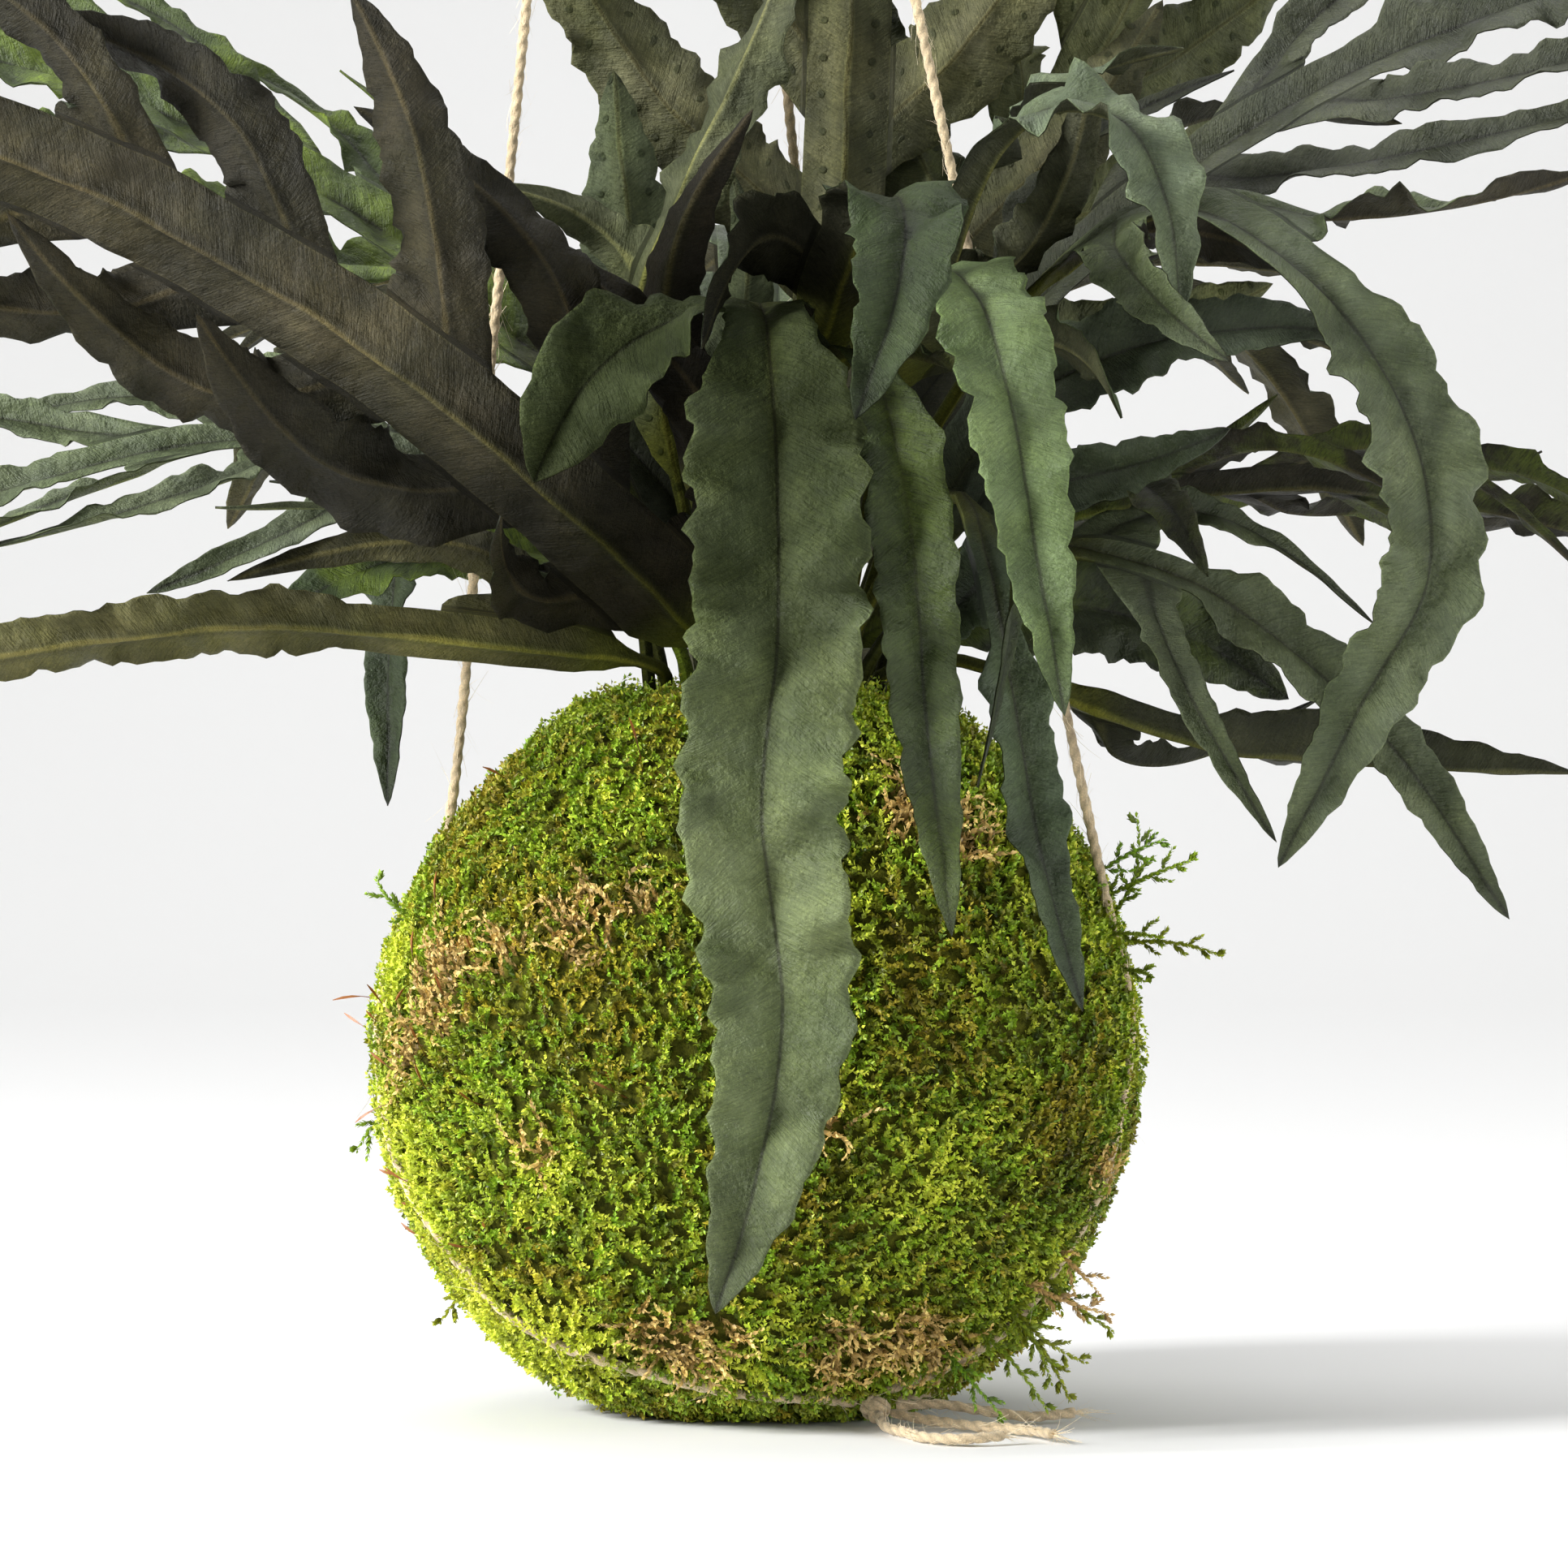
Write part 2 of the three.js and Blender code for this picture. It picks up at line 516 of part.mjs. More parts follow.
// The rachis's place, its direction and its two cross directions at a share of its length.
function rachisFrame(frond, curve, share) {
  const along = curve.getTangentAt(share);
  const heading = radians(frond.faces);
  const side = new THREE.Vector3(Math.sin(heading), -Math.cos(heading), 0);
  side.addScaledVector(along, -side.dot(along)).normalize();
  const up = side.clone().cross(along);
  const roll = radians(frond.roll[0] + (frond.roll[1] - frond.roll[0]) * share);
  return {
    at: curve.getPointAt(share), along,
    side: side.clone().multiplyScalar(Math.cos(roll)).addScaledVector(up, Math.sin(roll)),
    up: up.clone().multiplyScalar(Math.cos(roll)).addScaledVector(side, -Math.sin(roll)),
  };
}

// Half the width of a lobe at a share of its length, as a share of its widest: a strap with a sharp tip.
function strap(share, sharp) {
  return (1 - 0.15 * share) * (1 - share ** sharp) ** 0.75;
}

// The stations where the lobes meet the rachis: three for each pair of lobes, and the last one.
function stations({ left, right, blade: [start, finish] }) {
  const pairs = Math.max(left.length, right.length, 1);
  const shares = [];
  for (let pair = 0; pair < pairs; pair += 1) {
    for (const part of [0, 0.3, 0.7]) {
      shares.push(start + ((finish - start) * (pair + part)) / pairs);
    }
  }
  return [...shares, finish];
}

// A lobe's line: it leaves the rachis at an angle and bends towards its tip. The cross direction
// starts along the rachis, comes square to the line within a lobe's width and is then carried
// along it, with a twist that grows towards the tip.
function lobeLine(frond, sign, index, frame, place) {
  const spec = (sign > 0 ? frond.right : frond.left)[index];
  const draw = (k) => 2 * rand(frond.seed, 20 * index + (sign > 0 ? 0 : 10) + k) - 1;
  const share = index / Math.max(frond.left.length - 1, frond.right.length - 1, 1);
  const angle = radians(frond.angle[0] + (frond.angle[1] - frond.angle[0]) * share + 5 * draw(0));
  const root = frame.at.clone().addScaledVector(frame.side, sign * frond.wing);
  const heading = (turn, lift) => frame.along.clone().multiplyScalar(Math.cos(turn))
    .addScaledVector(frame.side, sign * Math.sin(turn)).addScaledVector(frame.up, lift).normalize();
  let tip;
  let width = frond.width;
  let twist = frond.twist * draw(3);
  if (typeof spec === "number") {
    const out = heading(angle - 0.25, frond.lift + 0.2 * draw(1));
    out.z -= frond.droop * (1 + 0.5 * draw(2));
    tip = root.clone().addScaledVector(out, spec);
  } else {
    tip = vector(spec.slice(0, 3));
    width = spec[3] ?? width;
    twist = spec[4] ?? twist;
  }
  const length = tip.distanceTo(root);
  const bend = root.clone().addScaledVector(heading(angle, frond.lift), length * frond.reach);
  const line = [];
  let across = frame.along.clone();
  for (let step = 0; step <= LINE_STEPS; step += 1) {
    const u = step / LINE_STEPS;
    const at = root.clone().multiplyScalar((1 - u) ** 2).addScaledVector(bend, 2 * u * (1 - u))
      .addScaledVector(tip, u * u);
    const along = bend.clone().sub(root).multiplyScalar(1 - u)
      .addScaledVector(tip.clone().sub(bend), u).normalize();
    across = across.clone().addScaledVector(along, -across.dot(along)).normalize();
    const free = smooth((u * length) / width);
    const flat = frame.along.clone().lerp(across, free).normalize();
    const up = along.clone().cross(flat).multiplyScalar(sign).normalize();
    const turn = radians(twist) * u;
    line.push({
      at,
      across: flat.clone().multiplyScalar(Math.cos(turn)).addScaledVector(up, Math.sin(turn)),
      up: up.clone().multiplyScalar(Math.cos(turn)).addScaledVector(flat, -Math.sin(turn)),
    });
  }
  const turned = new THREE.Quaternion().setFromAxisAngle(frame.along, radians(place.turn));
  for (const point of line) {
    point.at.sub(root).multiplyScalar(place.reach).applyQuaternion(turned).add(root);
    point.across.applyQuaternion(turned);
    point.up.applyQuaternion(turned);
  }
  const rings = Math.max(4, Math.round((length * 1.08 * place.reach) / frond.ring));
  return { line, width, rings };
}

function onLine(line, share) {
  const step = Math.min(Math.floor(share * LINE_STEPS), LINE_STEPS - 1);
  const rest = share * LINE_STEPS - step;
  const [from, to] = [line[step], line[step + 1]];
  return {
    at: from.at.clone().lerp(to.at, rest),
    across: from.across.clone().lerp(to.across, rest).normalize(),
    up: from.up.clone().lerp(to.up, rest).normalize(),
  };
}

// How far a margin stands up at a ring: up and down by turns, and level at both ends of the lobe.
function waveAt(frond, ring, share) {
  return frond.wave * (ring % 2 ? -1 : 1) * smooth(share / 0.2) * (1 - share ** 4);
}

// The rows of a lobe beyond the one it shares with the rachis: three points each, one at the tip.
function lobeRows(frond, { line, width, rings }) {
  const rows = [];
  for (let ring = 1; ring < rings; ring += 1) {
    const share = ring / rings;
    const { at, across, up } = onLine(line, share);
    const half = (width / 2) * strap(share, frond.sharp);
    const raise = frond.fold * half + waveAt(frond, ring, share);
    rows.push([-1, 0, 1].map((k) => at.clone().addScaledVector(across, k * half)
      .addScaledVector(up, k === 0 ? 0 : raise)));
  }
  return { rows, tip: line[LINE_STEPS].at };
}

// Adds rows of three points to a sheet, from a row that is already in it, to a single point.
function addStrap(sheet, first, { rows, tip }, sign) {
  let last = first;
  const add = (point) => sheet.points.push(point) - 1;
  const triangle = (a, b, c) => sheet.triangles.push(...(sign > 0 ? [a, c, b] : [a, b, c]));
  for (const row of rows) {
    const next = row.map(add);
    sheet.halves.push(...row.map(() => BLADE_HALF));
    for (const k of [0, 1]) {
      triangle(last[k], last[k + 1], next[k + 1]);
      triangle(last[k], next[k + 1], next[k]);
    }
    last = next;
  }
  const end = add(tip);
  sheet.halves.push(BLADE_HALF);
  triangle(last[0], last[1], end);
  triangle(last[1], last[2], end);
}

// The stem, the winged rachis and the end lobe, as one strip of three points across.
function rachisSheet(frond) {
  const { curve, blade: [start, finish] } = frond;
  const sheet = { points: [], halves: [], triangles: [] };
  const stemRows = Math.max(4, Math.round((curve.getLength() * start) / 16));
  const endRings = Math.max(5, Math.round((curve.getLength() * (1 - finish)) / frond.ring));
  const shares = Array.from({ length: stemRows }, (_, k) => (start * k) / stemRows);
  const bladeRow = shares.length;
  shares.push(...stations(frond));
  const endRow = shares.length - 1;
  for (let ring = 1; ring < endRings; ring += 1) {
    shares.push(finish + ((1 - finish) * ring) / endRings);
  }
  shares.forEach((share, row) => {
    const frame = rachisFrame(frond, curve, share);
    const beyond = Math.max((share - finish) / (1 - finish), 0);
    const lobe = (frond.end / 2) * strap(beyond, frond.sharp);
    let half = frond.wing + (lobe - frond.wing) * smooth(beyond / 0.15);
    if (row <= bladeRow) {
      half = row === bladeRow ? frond.wing * 0.6 : STEM_HALF;
    }
    const wave = row > endRow ? waveAt(frond, row - endRow, beyond) : 0;
    const fold = row > bladeRow ? frond.fold * half : 0;
    const stem = row < bladeRow ? STEM_HALF : 0;
    const rib = RIB_HALF + (BLADE_HALF - RIB_HALF) * beyond;
    for (const k of [-1, 0, 1]) {
      sheet.points.push(frame.at.clone().addScaledVector(frame.side, k * half)
        .addScaledVector(frame.up, k === 0 ? 0 : fold + k * wave));
      sheet.halves.push(k === 0 ? Math.max(stem, rib) : BLADE_HALF + 0.3 * stem);
    }
    if (row > 0) {
      const here = 3 * row;
      for (const k of [0, 1]) {
        sheet.triangles.push(here + k - 3, here + k - 2, here + k + 1, here + k - 3, here + k + 1, here + k);
      }
    }
  });
  const last = 3 * (shares.length - 1);
  const end = sheet.points.push(curve.getPointAt(1)) - 1;
  sheet.halves.push(BLADE_HALF);
  sheet.triangles.push(last, last + 1, end, last + 1, last + 2, end);
  return { sheet, bladeRow };
}

const clears = (solid, others) => others.every((other) => {
  const [a, b] = [solid.boundingBox(), other.boundingBox()];
  const apart = [0, 1, 2].some((k) => a.max[k] < b.min[k] || b.max[k] < a.min[k]);
  return apart || solid.intersect(other).isEmpty();
});

// A lobe takes the first turn and reach at which it is clear of everything that is already placed.
// Of its own frond it has to clear only what lies beyond its first ring, where it has left the wing.
function placeLobe(frond, sign, index, edge, taken) {
  const station = stations(frond)[3 * index + (sign > 0 ? 2 : 1)];
  const frame = rachisFrame(frond, frond.curve, station);
  const own = taken.filter(({ owner }) => owner === frond).map(({ solid }) => solid);
  const others = taken.filter(({ owner }) => owner !== frond).map(({ solid }) => solid);
  const strip = (points, { rows, tip }) => {
    const sheet = { points: [...points], halves: points.map(() => BLADE_HALF), triangles: [] };
    addStrap(sheet, [0, 1, 2], { rows, tip }, sign);
    return sheet;
  };
  for (const reach of REACHES) {
    for (const turn of TURNS) {
      const lobe = lobeRows(frond, lobeLine(frond, sign, index, frame, { turn, reach }));
      const whole = strip(edge, lobe);
      const free = strip(lobe.rows[0], { rows: lobe.rows.slice(1), tip: lobe.tip });
      if (clears(thicken(free, CLEARANCE), own) && clears(thicken(whole, CLEARANCE), others)) {
        return { lobe, solid: thicken(whole) };
      }
    }
  }
  return null;
}

// ---------------------------------------------------------------- the assembly
const plant = new THREE.Group();
plant.add(meshOf(mossCover(), "moss_cover", MOSS));
plant.add(meshOf(soilBall(), "soil_ball", SOIL));
plant.add(meshOf(rhizomeBody(0), "rhizome", ROOT));

const cords = {
  hanger_left: tube(strandPoints(STRANDS.left), 36),
  hanger_right: tube(strandPoints(STRANDS.right), 36),
  hanger_back: tube(strandPoints(STRANDS.back), 36),
  hanger_knot: knot(APEX, KNOT_RADIUS),
  hanger_loop: new THREE.TorusGeometry(LOOP_RADIUS, TWINE_RADIUS, 8, 14).rotateX(Math.PI / 2)
    .translate(APEX[0], APEX[1], APEX[2] + KNOT_RADIUS + LOOP_RADIUS + TWINE_RADIUS + GAP),
  foot_knot: knot(FOOT_KNOT.at, FOOT_KNOT.radius),
};
for (const [name, points] of Object.entries(TAILS)) {
  cords[name] = tube(points.map(vector), 8);
}
for (const [name, geometry] of Object.entries(cords)) {
  const mesh = new THREE.Mesh(geometry, TWINE);
  mesh.name = name;
  plant.add(mesh);
}

for (const frond of FRONDS) {
  Object.assign(frond, { ...DEFAULTS, ...frond });
  const [x, y] = frond.path[0];
  const route = [[x, y, STEM_FOOT], [x, y, SOIL_TOP + 1], [x, y, SOIL_TOP + 6], ...frond.path.slice(1)];
  frond.curve = new THREE.CatmullRomCurve3(route.map(vector), false, "centripetal");
  frond.base = rachisSheet(frond);
}
const ball = new THREE.SphereGeometry(MOSS_RADIUS + MOSS_CLEARANCE, 32, 24).translate(0, 0, BALL_HEIGHT);
const strands = ["hanger_left", "hanger_right", "hanger_back"].map((name) => solidOf(cords[name]));
const taken = [solidOf(ball), ...strands].map((solid) => ({ solid, owner: null }));
taken.push(...FRONDS.map((frond) => ({ solid: thicken(frond.base.sheet), owner: frond })));
for (const frond of FRONDS) {
  const { sheet, bladeRow } = frond.base;
  for (const sign of [1, -1]) {
    const side = sign > 0 ? frond.right : frond.left;
    side.forEach((_, index) => {
      const first = bladeRow + 3 * index + (sign > 0 ? 1 : 0);
      const edge = [0, 1, 2].map((k) => 3 * (first + k) + 1 + sign);
      const placed = placeLobe(frond, sign, index, edge.map((k) => sheet.points[k]), taken);
      if (placed !== null) {
        taken.push({ solid: placed.solid, owner: frond });
        addStrap(sheet, edge, placed.lobe, sign);
      }
    });
  }
  plant.add(meshOf(thicken(sheet), `frond_${frond.name}`, frond.under ? LEAF_UNDER : LEAF));
}

export default plant;
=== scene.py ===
# %% [markdown]
# # A kokedama, a fern in a ball of moss
# A kokedama is a plant whose roots are held in a ball of soil. The ball is wrapped in moss and
# bound with twine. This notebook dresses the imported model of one: a fern with long wavy lobes.
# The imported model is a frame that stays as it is. Each cell adds a piece or a finish around it,
# in metres, with +Z up and the front at -Y.

# %% Load the frame
import json
import math
import bpy
import numpy as np
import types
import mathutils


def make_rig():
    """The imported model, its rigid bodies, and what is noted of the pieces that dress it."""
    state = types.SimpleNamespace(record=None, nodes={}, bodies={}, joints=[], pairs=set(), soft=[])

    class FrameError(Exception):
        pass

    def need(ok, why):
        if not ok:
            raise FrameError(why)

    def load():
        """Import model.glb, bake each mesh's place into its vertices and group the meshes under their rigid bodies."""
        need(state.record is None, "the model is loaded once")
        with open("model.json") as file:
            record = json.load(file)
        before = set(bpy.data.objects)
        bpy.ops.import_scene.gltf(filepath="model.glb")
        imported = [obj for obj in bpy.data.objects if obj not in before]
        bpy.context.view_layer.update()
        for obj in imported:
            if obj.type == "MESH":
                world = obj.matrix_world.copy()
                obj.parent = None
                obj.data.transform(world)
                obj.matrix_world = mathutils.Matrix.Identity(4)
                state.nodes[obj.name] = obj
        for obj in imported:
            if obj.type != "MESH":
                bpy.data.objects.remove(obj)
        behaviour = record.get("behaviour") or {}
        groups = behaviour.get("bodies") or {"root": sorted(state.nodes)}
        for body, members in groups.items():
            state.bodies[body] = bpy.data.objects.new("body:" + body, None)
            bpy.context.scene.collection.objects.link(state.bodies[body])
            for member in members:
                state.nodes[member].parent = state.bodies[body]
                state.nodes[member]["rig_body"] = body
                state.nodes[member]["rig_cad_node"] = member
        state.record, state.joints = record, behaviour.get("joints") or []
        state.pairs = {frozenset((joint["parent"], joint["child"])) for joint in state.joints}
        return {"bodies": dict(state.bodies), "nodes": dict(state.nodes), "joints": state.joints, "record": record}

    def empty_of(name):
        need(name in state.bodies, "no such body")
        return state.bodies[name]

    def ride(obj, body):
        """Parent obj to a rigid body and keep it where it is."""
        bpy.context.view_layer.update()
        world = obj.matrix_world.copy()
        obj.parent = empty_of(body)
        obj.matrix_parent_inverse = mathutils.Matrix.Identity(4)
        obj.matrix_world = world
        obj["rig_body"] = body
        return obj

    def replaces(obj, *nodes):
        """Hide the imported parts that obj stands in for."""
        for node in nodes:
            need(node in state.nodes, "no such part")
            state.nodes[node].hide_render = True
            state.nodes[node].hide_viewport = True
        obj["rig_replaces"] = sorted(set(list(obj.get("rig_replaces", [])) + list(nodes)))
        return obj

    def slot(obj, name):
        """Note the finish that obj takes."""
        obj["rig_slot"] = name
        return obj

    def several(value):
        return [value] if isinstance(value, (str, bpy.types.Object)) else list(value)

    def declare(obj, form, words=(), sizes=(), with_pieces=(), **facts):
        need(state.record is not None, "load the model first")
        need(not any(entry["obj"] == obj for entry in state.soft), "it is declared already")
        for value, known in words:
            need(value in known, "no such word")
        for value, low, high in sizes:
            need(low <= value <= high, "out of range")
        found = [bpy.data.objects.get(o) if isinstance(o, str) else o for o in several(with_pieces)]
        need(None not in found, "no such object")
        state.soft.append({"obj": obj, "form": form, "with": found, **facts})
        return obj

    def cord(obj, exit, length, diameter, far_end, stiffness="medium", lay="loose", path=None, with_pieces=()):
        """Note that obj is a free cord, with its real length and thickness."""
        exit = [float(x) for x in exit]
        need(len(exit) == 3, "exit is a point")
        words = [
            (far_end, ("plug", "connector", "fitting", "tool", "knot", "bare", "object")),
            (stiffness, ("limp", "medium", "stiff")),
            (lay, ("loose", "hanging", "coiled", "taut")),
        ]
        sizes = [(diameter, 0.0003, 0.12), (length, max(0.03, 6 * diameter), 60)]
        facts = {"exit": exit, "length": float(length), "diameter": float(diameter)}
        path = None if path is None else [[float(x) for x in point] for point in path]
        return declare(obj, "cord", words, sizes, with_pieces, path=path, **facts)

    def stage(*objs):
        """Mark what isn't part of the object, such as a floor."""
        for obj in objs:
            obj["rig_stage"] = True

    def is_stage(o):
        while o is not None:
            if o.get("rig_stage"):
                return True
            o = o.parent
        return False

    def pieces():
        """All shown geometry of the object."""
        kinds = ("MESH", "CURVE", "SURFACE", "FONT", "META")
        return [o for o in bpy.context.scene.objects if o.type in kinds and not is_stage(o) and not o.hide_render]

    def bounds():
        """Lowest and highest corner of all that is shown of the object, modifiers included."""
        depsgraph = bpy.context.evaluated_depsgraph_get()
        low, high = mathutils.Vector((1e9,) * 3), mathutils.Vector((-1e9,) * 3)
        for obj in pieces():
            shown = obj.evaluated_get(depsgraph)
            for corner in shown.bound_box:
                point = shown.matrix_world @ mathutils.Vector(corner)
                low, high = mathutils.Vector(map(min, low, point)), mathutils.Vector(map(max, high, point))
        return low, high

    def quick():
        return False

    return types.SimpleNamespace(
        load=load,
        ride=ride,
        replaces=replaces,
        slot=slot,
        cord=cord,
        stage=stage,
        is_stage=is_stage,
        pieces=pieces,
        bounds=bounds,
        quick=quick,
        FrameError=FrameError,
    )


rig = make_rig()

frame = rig.load()
cad_low, cad_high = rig.bounds()
MM = 0.001
print("nodes", len(frame["nodes"]), "box", cad_low, cad_high)

# %% [markdown]
# ## Camera and studio
# The plant is seen straight from the front, with a long lens, in a pale seamless studio whose floor
# curves up behind the plant. Most of the light comes from a small window on the left, which
# models the leaves and the moss. The right and the front get a little fill, and a broad light
# overhead keeps the ground white.

# %% Camera
VIEW_CENTRE = (5.3, 131.7)      # x and z of the point that the camera looks at, in millimetres
CAMERA_DISTANCE = 1200.0        # from the ball's axis, in millimetres
SENSOR = 36.0
LENS = 130.6

camera = bpy.data.objects.new("camera", bpy.data.cameras.new("camera"))
camera.data.lens = LENS
camera.data.sensor_width = SENSOR
camera.data.clip_start = 0.05
camera.location = (VIEW_CENTRE[0] * MM, -CAMERA_DISTANCE * MM, VIEW_CENTRE[1] * MM)
camera.rotation_euler = (math.radians(90), 0, 0)
bpy.context.collection.objects.link(camera)
bpy.context.scene.camera = camera
print("view width at the ball", round(SENSOR / LENS * CAMERA_DISTANCE), "mm")


# %% A mesh from arrays
def new_piece(name, points, faces, materials=(), smooth=True, scale=MM):
    """A mesh object from an array of points in millimetres and an array of triangles or quads."""
    points = np.asarray(points, np.float32) * scale
    faces = np.asarray(faces, np.int32)
    mesh = bpy.data.meshes.new(name)
    mesh.vertices.add(len(points))
    mesh.vertices.foreach_set("co", points.ravel())
    corners = faces.shape[1]
    mesh.loops.add(faces.size)
    mesh.loops.foreach_set("vertex_index", faces.ravel())
    mesh.polygons.add(len(faces))
    mesh.polygons.foreach_set("loop_start", np.arange(0, faces.size, corners, dtype=np.int32))
    mesh.polygons.foreach_set("loop_total", np.full(len(faces), corners, np.int32))
    mesh.polygons.foreach_set("use_smooth", np.full(len(faces), smooth))
    mesh.update(calc_edges=True)
    mesh.validate()
    for material in materials:
        mesh.materials.append(material)
    piece = bpy.data.objects.new(name, mesh)
    bpy.context.collection.objects.link(piece)
    return piece


def paint(piece, name, values):
    """Stores one value or one colour for each point, as an attribute that a material can read."""
    values = np.asarray(values, np.float32)
    if values.ndim == 1:
        layer = piece.data.attributes.new(name, "FLOAT", "POINT")
        layer.data.foreach_set("value", values)
    else:
        layer = piece.data.color_attributes.new(name, "FLOAT_COLOR", "POINT")
        rgba = np.ones((len(values), 4), np.float32)
        rgba[:, :3] = values
        layer.data.foreach_set("color", rgba.ravel())


# %% Small maths
def unit(vectors):
    """Each vector divided by its length."""
    return vectors / np.maximum(np.linalg.norm(vectors, axis=-1, keepdims=True), 1e-9)


def smooth(share):
    """A ramp from 0 to 1 with level ends: 3x^2 - 2x^3."""
    share = np.clip(share, 0, 1)
    return share * share * (3 - 2 * share)


def bow(start, middle, finish, share):
    """Points and directions of a bent line: (1 - u)^2 start + 2u (1 - u) middle + u^2 finish."""
    u = np.asarray(share)[:, None]
    at = (1 - u) ** 2 * start + 2 * u * (1 - u) * middle + u ** 2 * finish
    return at, unit((middle - start) * (1 - u) + (finish - middle) * u)


def spun(first, second, angle):
    """Two directions that are square to each other, turned together by an angle in radians."""
    return first * np.cos(angle) + second * np.sin(angle), second * np.cos(angle) - first * np.sin(angle)


def carried(across, ahead):
    """A cross direction that is kept square to a curve as it goes along it."""
    rows = []
    for way in ahead:
        across = unit(across - (across @ way) * way)
        rows.append(across)
    return np.array(rows)


def spline_ends(points):
    """The points, with one more at each end that goes on in a straight line."""
    p = np.asarray(points, float)
    return np.vstack([2 * p[0] - p[1], p, 2 * p[-1] - p[-2]])


def rand(seed, index):
    """A repeatable number from 0 to 1: the fraction of a large sine."""
    wave = math.sin(seed * 12.9898 + index * 78.233) * 43758.5453
    return wave - math.floor(wave)


def linear(red, green, blue):
    """A colour named by its 0 to 255 screen values, as the linear light that a shader works in."""
    return tuple(((value / 255 + 0.055) / 1.055) ** 2.4 for value in (red, green, blue))


# %% Studio
def studio_floor():
    """A floor that runs forwards and back and curves up into a wall: a profile moved along X."""
    turn = np.linspace(0, math.pi / 2, 13)
    radius, back, front, top, side = 1.2, 2.2, -2.6, 3.2, 4.0      # metres
    profile = [(front, 0.0)]
    profile += [(back + radius * math.sin(t), radius * (1 - math.cos(t))) for t in turn]
    profile += [(back + radius, top)]
    y, z = np.array(profile).T
    count = len(y)
    points = np.stack([np.repeat([-side, side], count), np.tile(y, 2), np.tile(z, 2)], 1)
    first = np.arange(count - 1)
    faces = np.stack([first, first + count, first + count + 1, first + 1], 1)
    return new_piece("studio_floor", points, faces, scale=1.0)


pale = bpy.data.materials.new("pale_paper")
pale.use_nodes = True
paper = {"Base Color": (0.88, 0.88, 0.875, 1), "Roughness": 0.9, "Specular IOR Level": 0.1}
for socket, value in paper.items():
    pale.node_tree.nodes["Principled BSDF"].inputs[socket].default_value = value
floor = studio_floor()
floor.data.materials.append(pale)
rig.stage(floor)


def soft_light(name, place, aim, size, power):
    """A square area light at a place, turned to an aim point. Metres and watts."""
    light = bpy.data.lights.new(name, "AREA")
    light.size = size
    light.energy = power
    lamp = bpy.data.objects.new(name, light)
    lamp.location = place
    way = np.subtract(aim, place)
    flat = math.hypot(way[0], way[1])
    lamp.rotation_euler = (math.atan2(flat, -way[2]), 0, math.atan2(-way[0], way[1]))
    bpy.context.collection.objects.link(lamp)


PLANT = (0.0, 0.0, 0.17)
BACKGROUND = (0.0, 2.3, 0.0)
soft_light("window_left", (-1.15, -0.55, 0.7), PLANT, 0.4, 33)
soft_light("fill_right", (1.2, -0.35, 0.4), PLANT, 0.8, 8)
soft_light("front", (-0.4, -1.5, 0.5), PLANT, 0.7, 3)
soft_light("overhead", (0.0, 1.4, 3.6), BACKGROUND, 3.6, 104)
world = bpy.data.worlds.new("studio")
world.use_nodes = True
world.node_tree.nodes["Background"].inputs["Color"].default_value = (1, 1, 1, 1)
world.node_tree.nodes["Background"].inputs["Strength"].default_value = 0.16
bpy.context.scene.world = world
bpy.context.scene.view_settings.view_transform = "Standard"
bpy.context.scene.view_settings.look = "None"


# %% [markdown]
# ## Materials
# Every finish is made of nodes. A helper makes the principled shader with its fixed values, and
# short helpers add a noise, a ramp, a mix or a bump. What they return is a Signal: a node's output
# that can be added to, subtracted from and multiplied, so that a finish reads as its formula.

# %% Node helpers
def new_material(name, roughness=0.7, **sockets):
    """A material with a principled shader whose named sockets hold fixed values."""
    material = bpy.data.materials.new(name)
    material.use_nodes = True
    shader = material.node_tree.nodes["Principled BSDF"]
    shader.inputs["Roughness"].default_value = roughness
    for socket, value in sockets.items():
        shader.inputs[socket.replace("_", " ")].default_value = value
    return material, material.node_tree, shader


def join(tree, value, slot):
    """Feeds an input: a Signal is linked, a number is set, and a colour gets its alpha."""
    if isinstance(value, Signal):
        tree.links.new(value.socket, slot)
    else:
        slot.default_value = (*value, 1) if isinstance(value, tuple) else value


class Signal:
    """A node's output. Sums, differences and products with it add maths nodes."""

    def __init__(self, tree, socket):
        self.tree, self.socket = tree, socket

    def __add__(self, other):
        return maths(self.tree, "ADD", self, other)

    def __sub__(self, other):
        return maths(self.tree, "SUBTRACT", self, other)

    def __rsub__(self, other):
        return maths(self.tree, "SUBTRACT", other, self)

    def __mul__(self, other):
        return maths(self.tree, "MULTIPLY", self, other)


def maths(tree, operation, *operands):
    """One maths node on numbers or Signals."""
    made = tree.nodes.new("ShaderNodeMath")
    made.operation = operation
    for value, slot in zip(operands, made.inputs):
        join(tree, value, slot)
    return Signal(tree, made.outputs[0])


def attribute(tree, name, output="Fac"):
    """Reads an attribute that paint() stored: its number, or its Color."""
    made = tree.nodes.new("ShaderNodeAttribute")
    made.attribute_name = name
    return Signal(tree, made.outputs[output])


def mix(tree, factor, first, second, blend="MIX"):
    """Mixes two colours by a factor."""
    made = tree.nodes.new("ShaderNodeMix")
    made.data_type = "RGBA"
    made.blend_type = blend
    for slot, value in ((0, factor), (6, first), (7, second)):
        join(tree, value, made.inputs[slot])
    return Signal(tree, made.outputs[2])


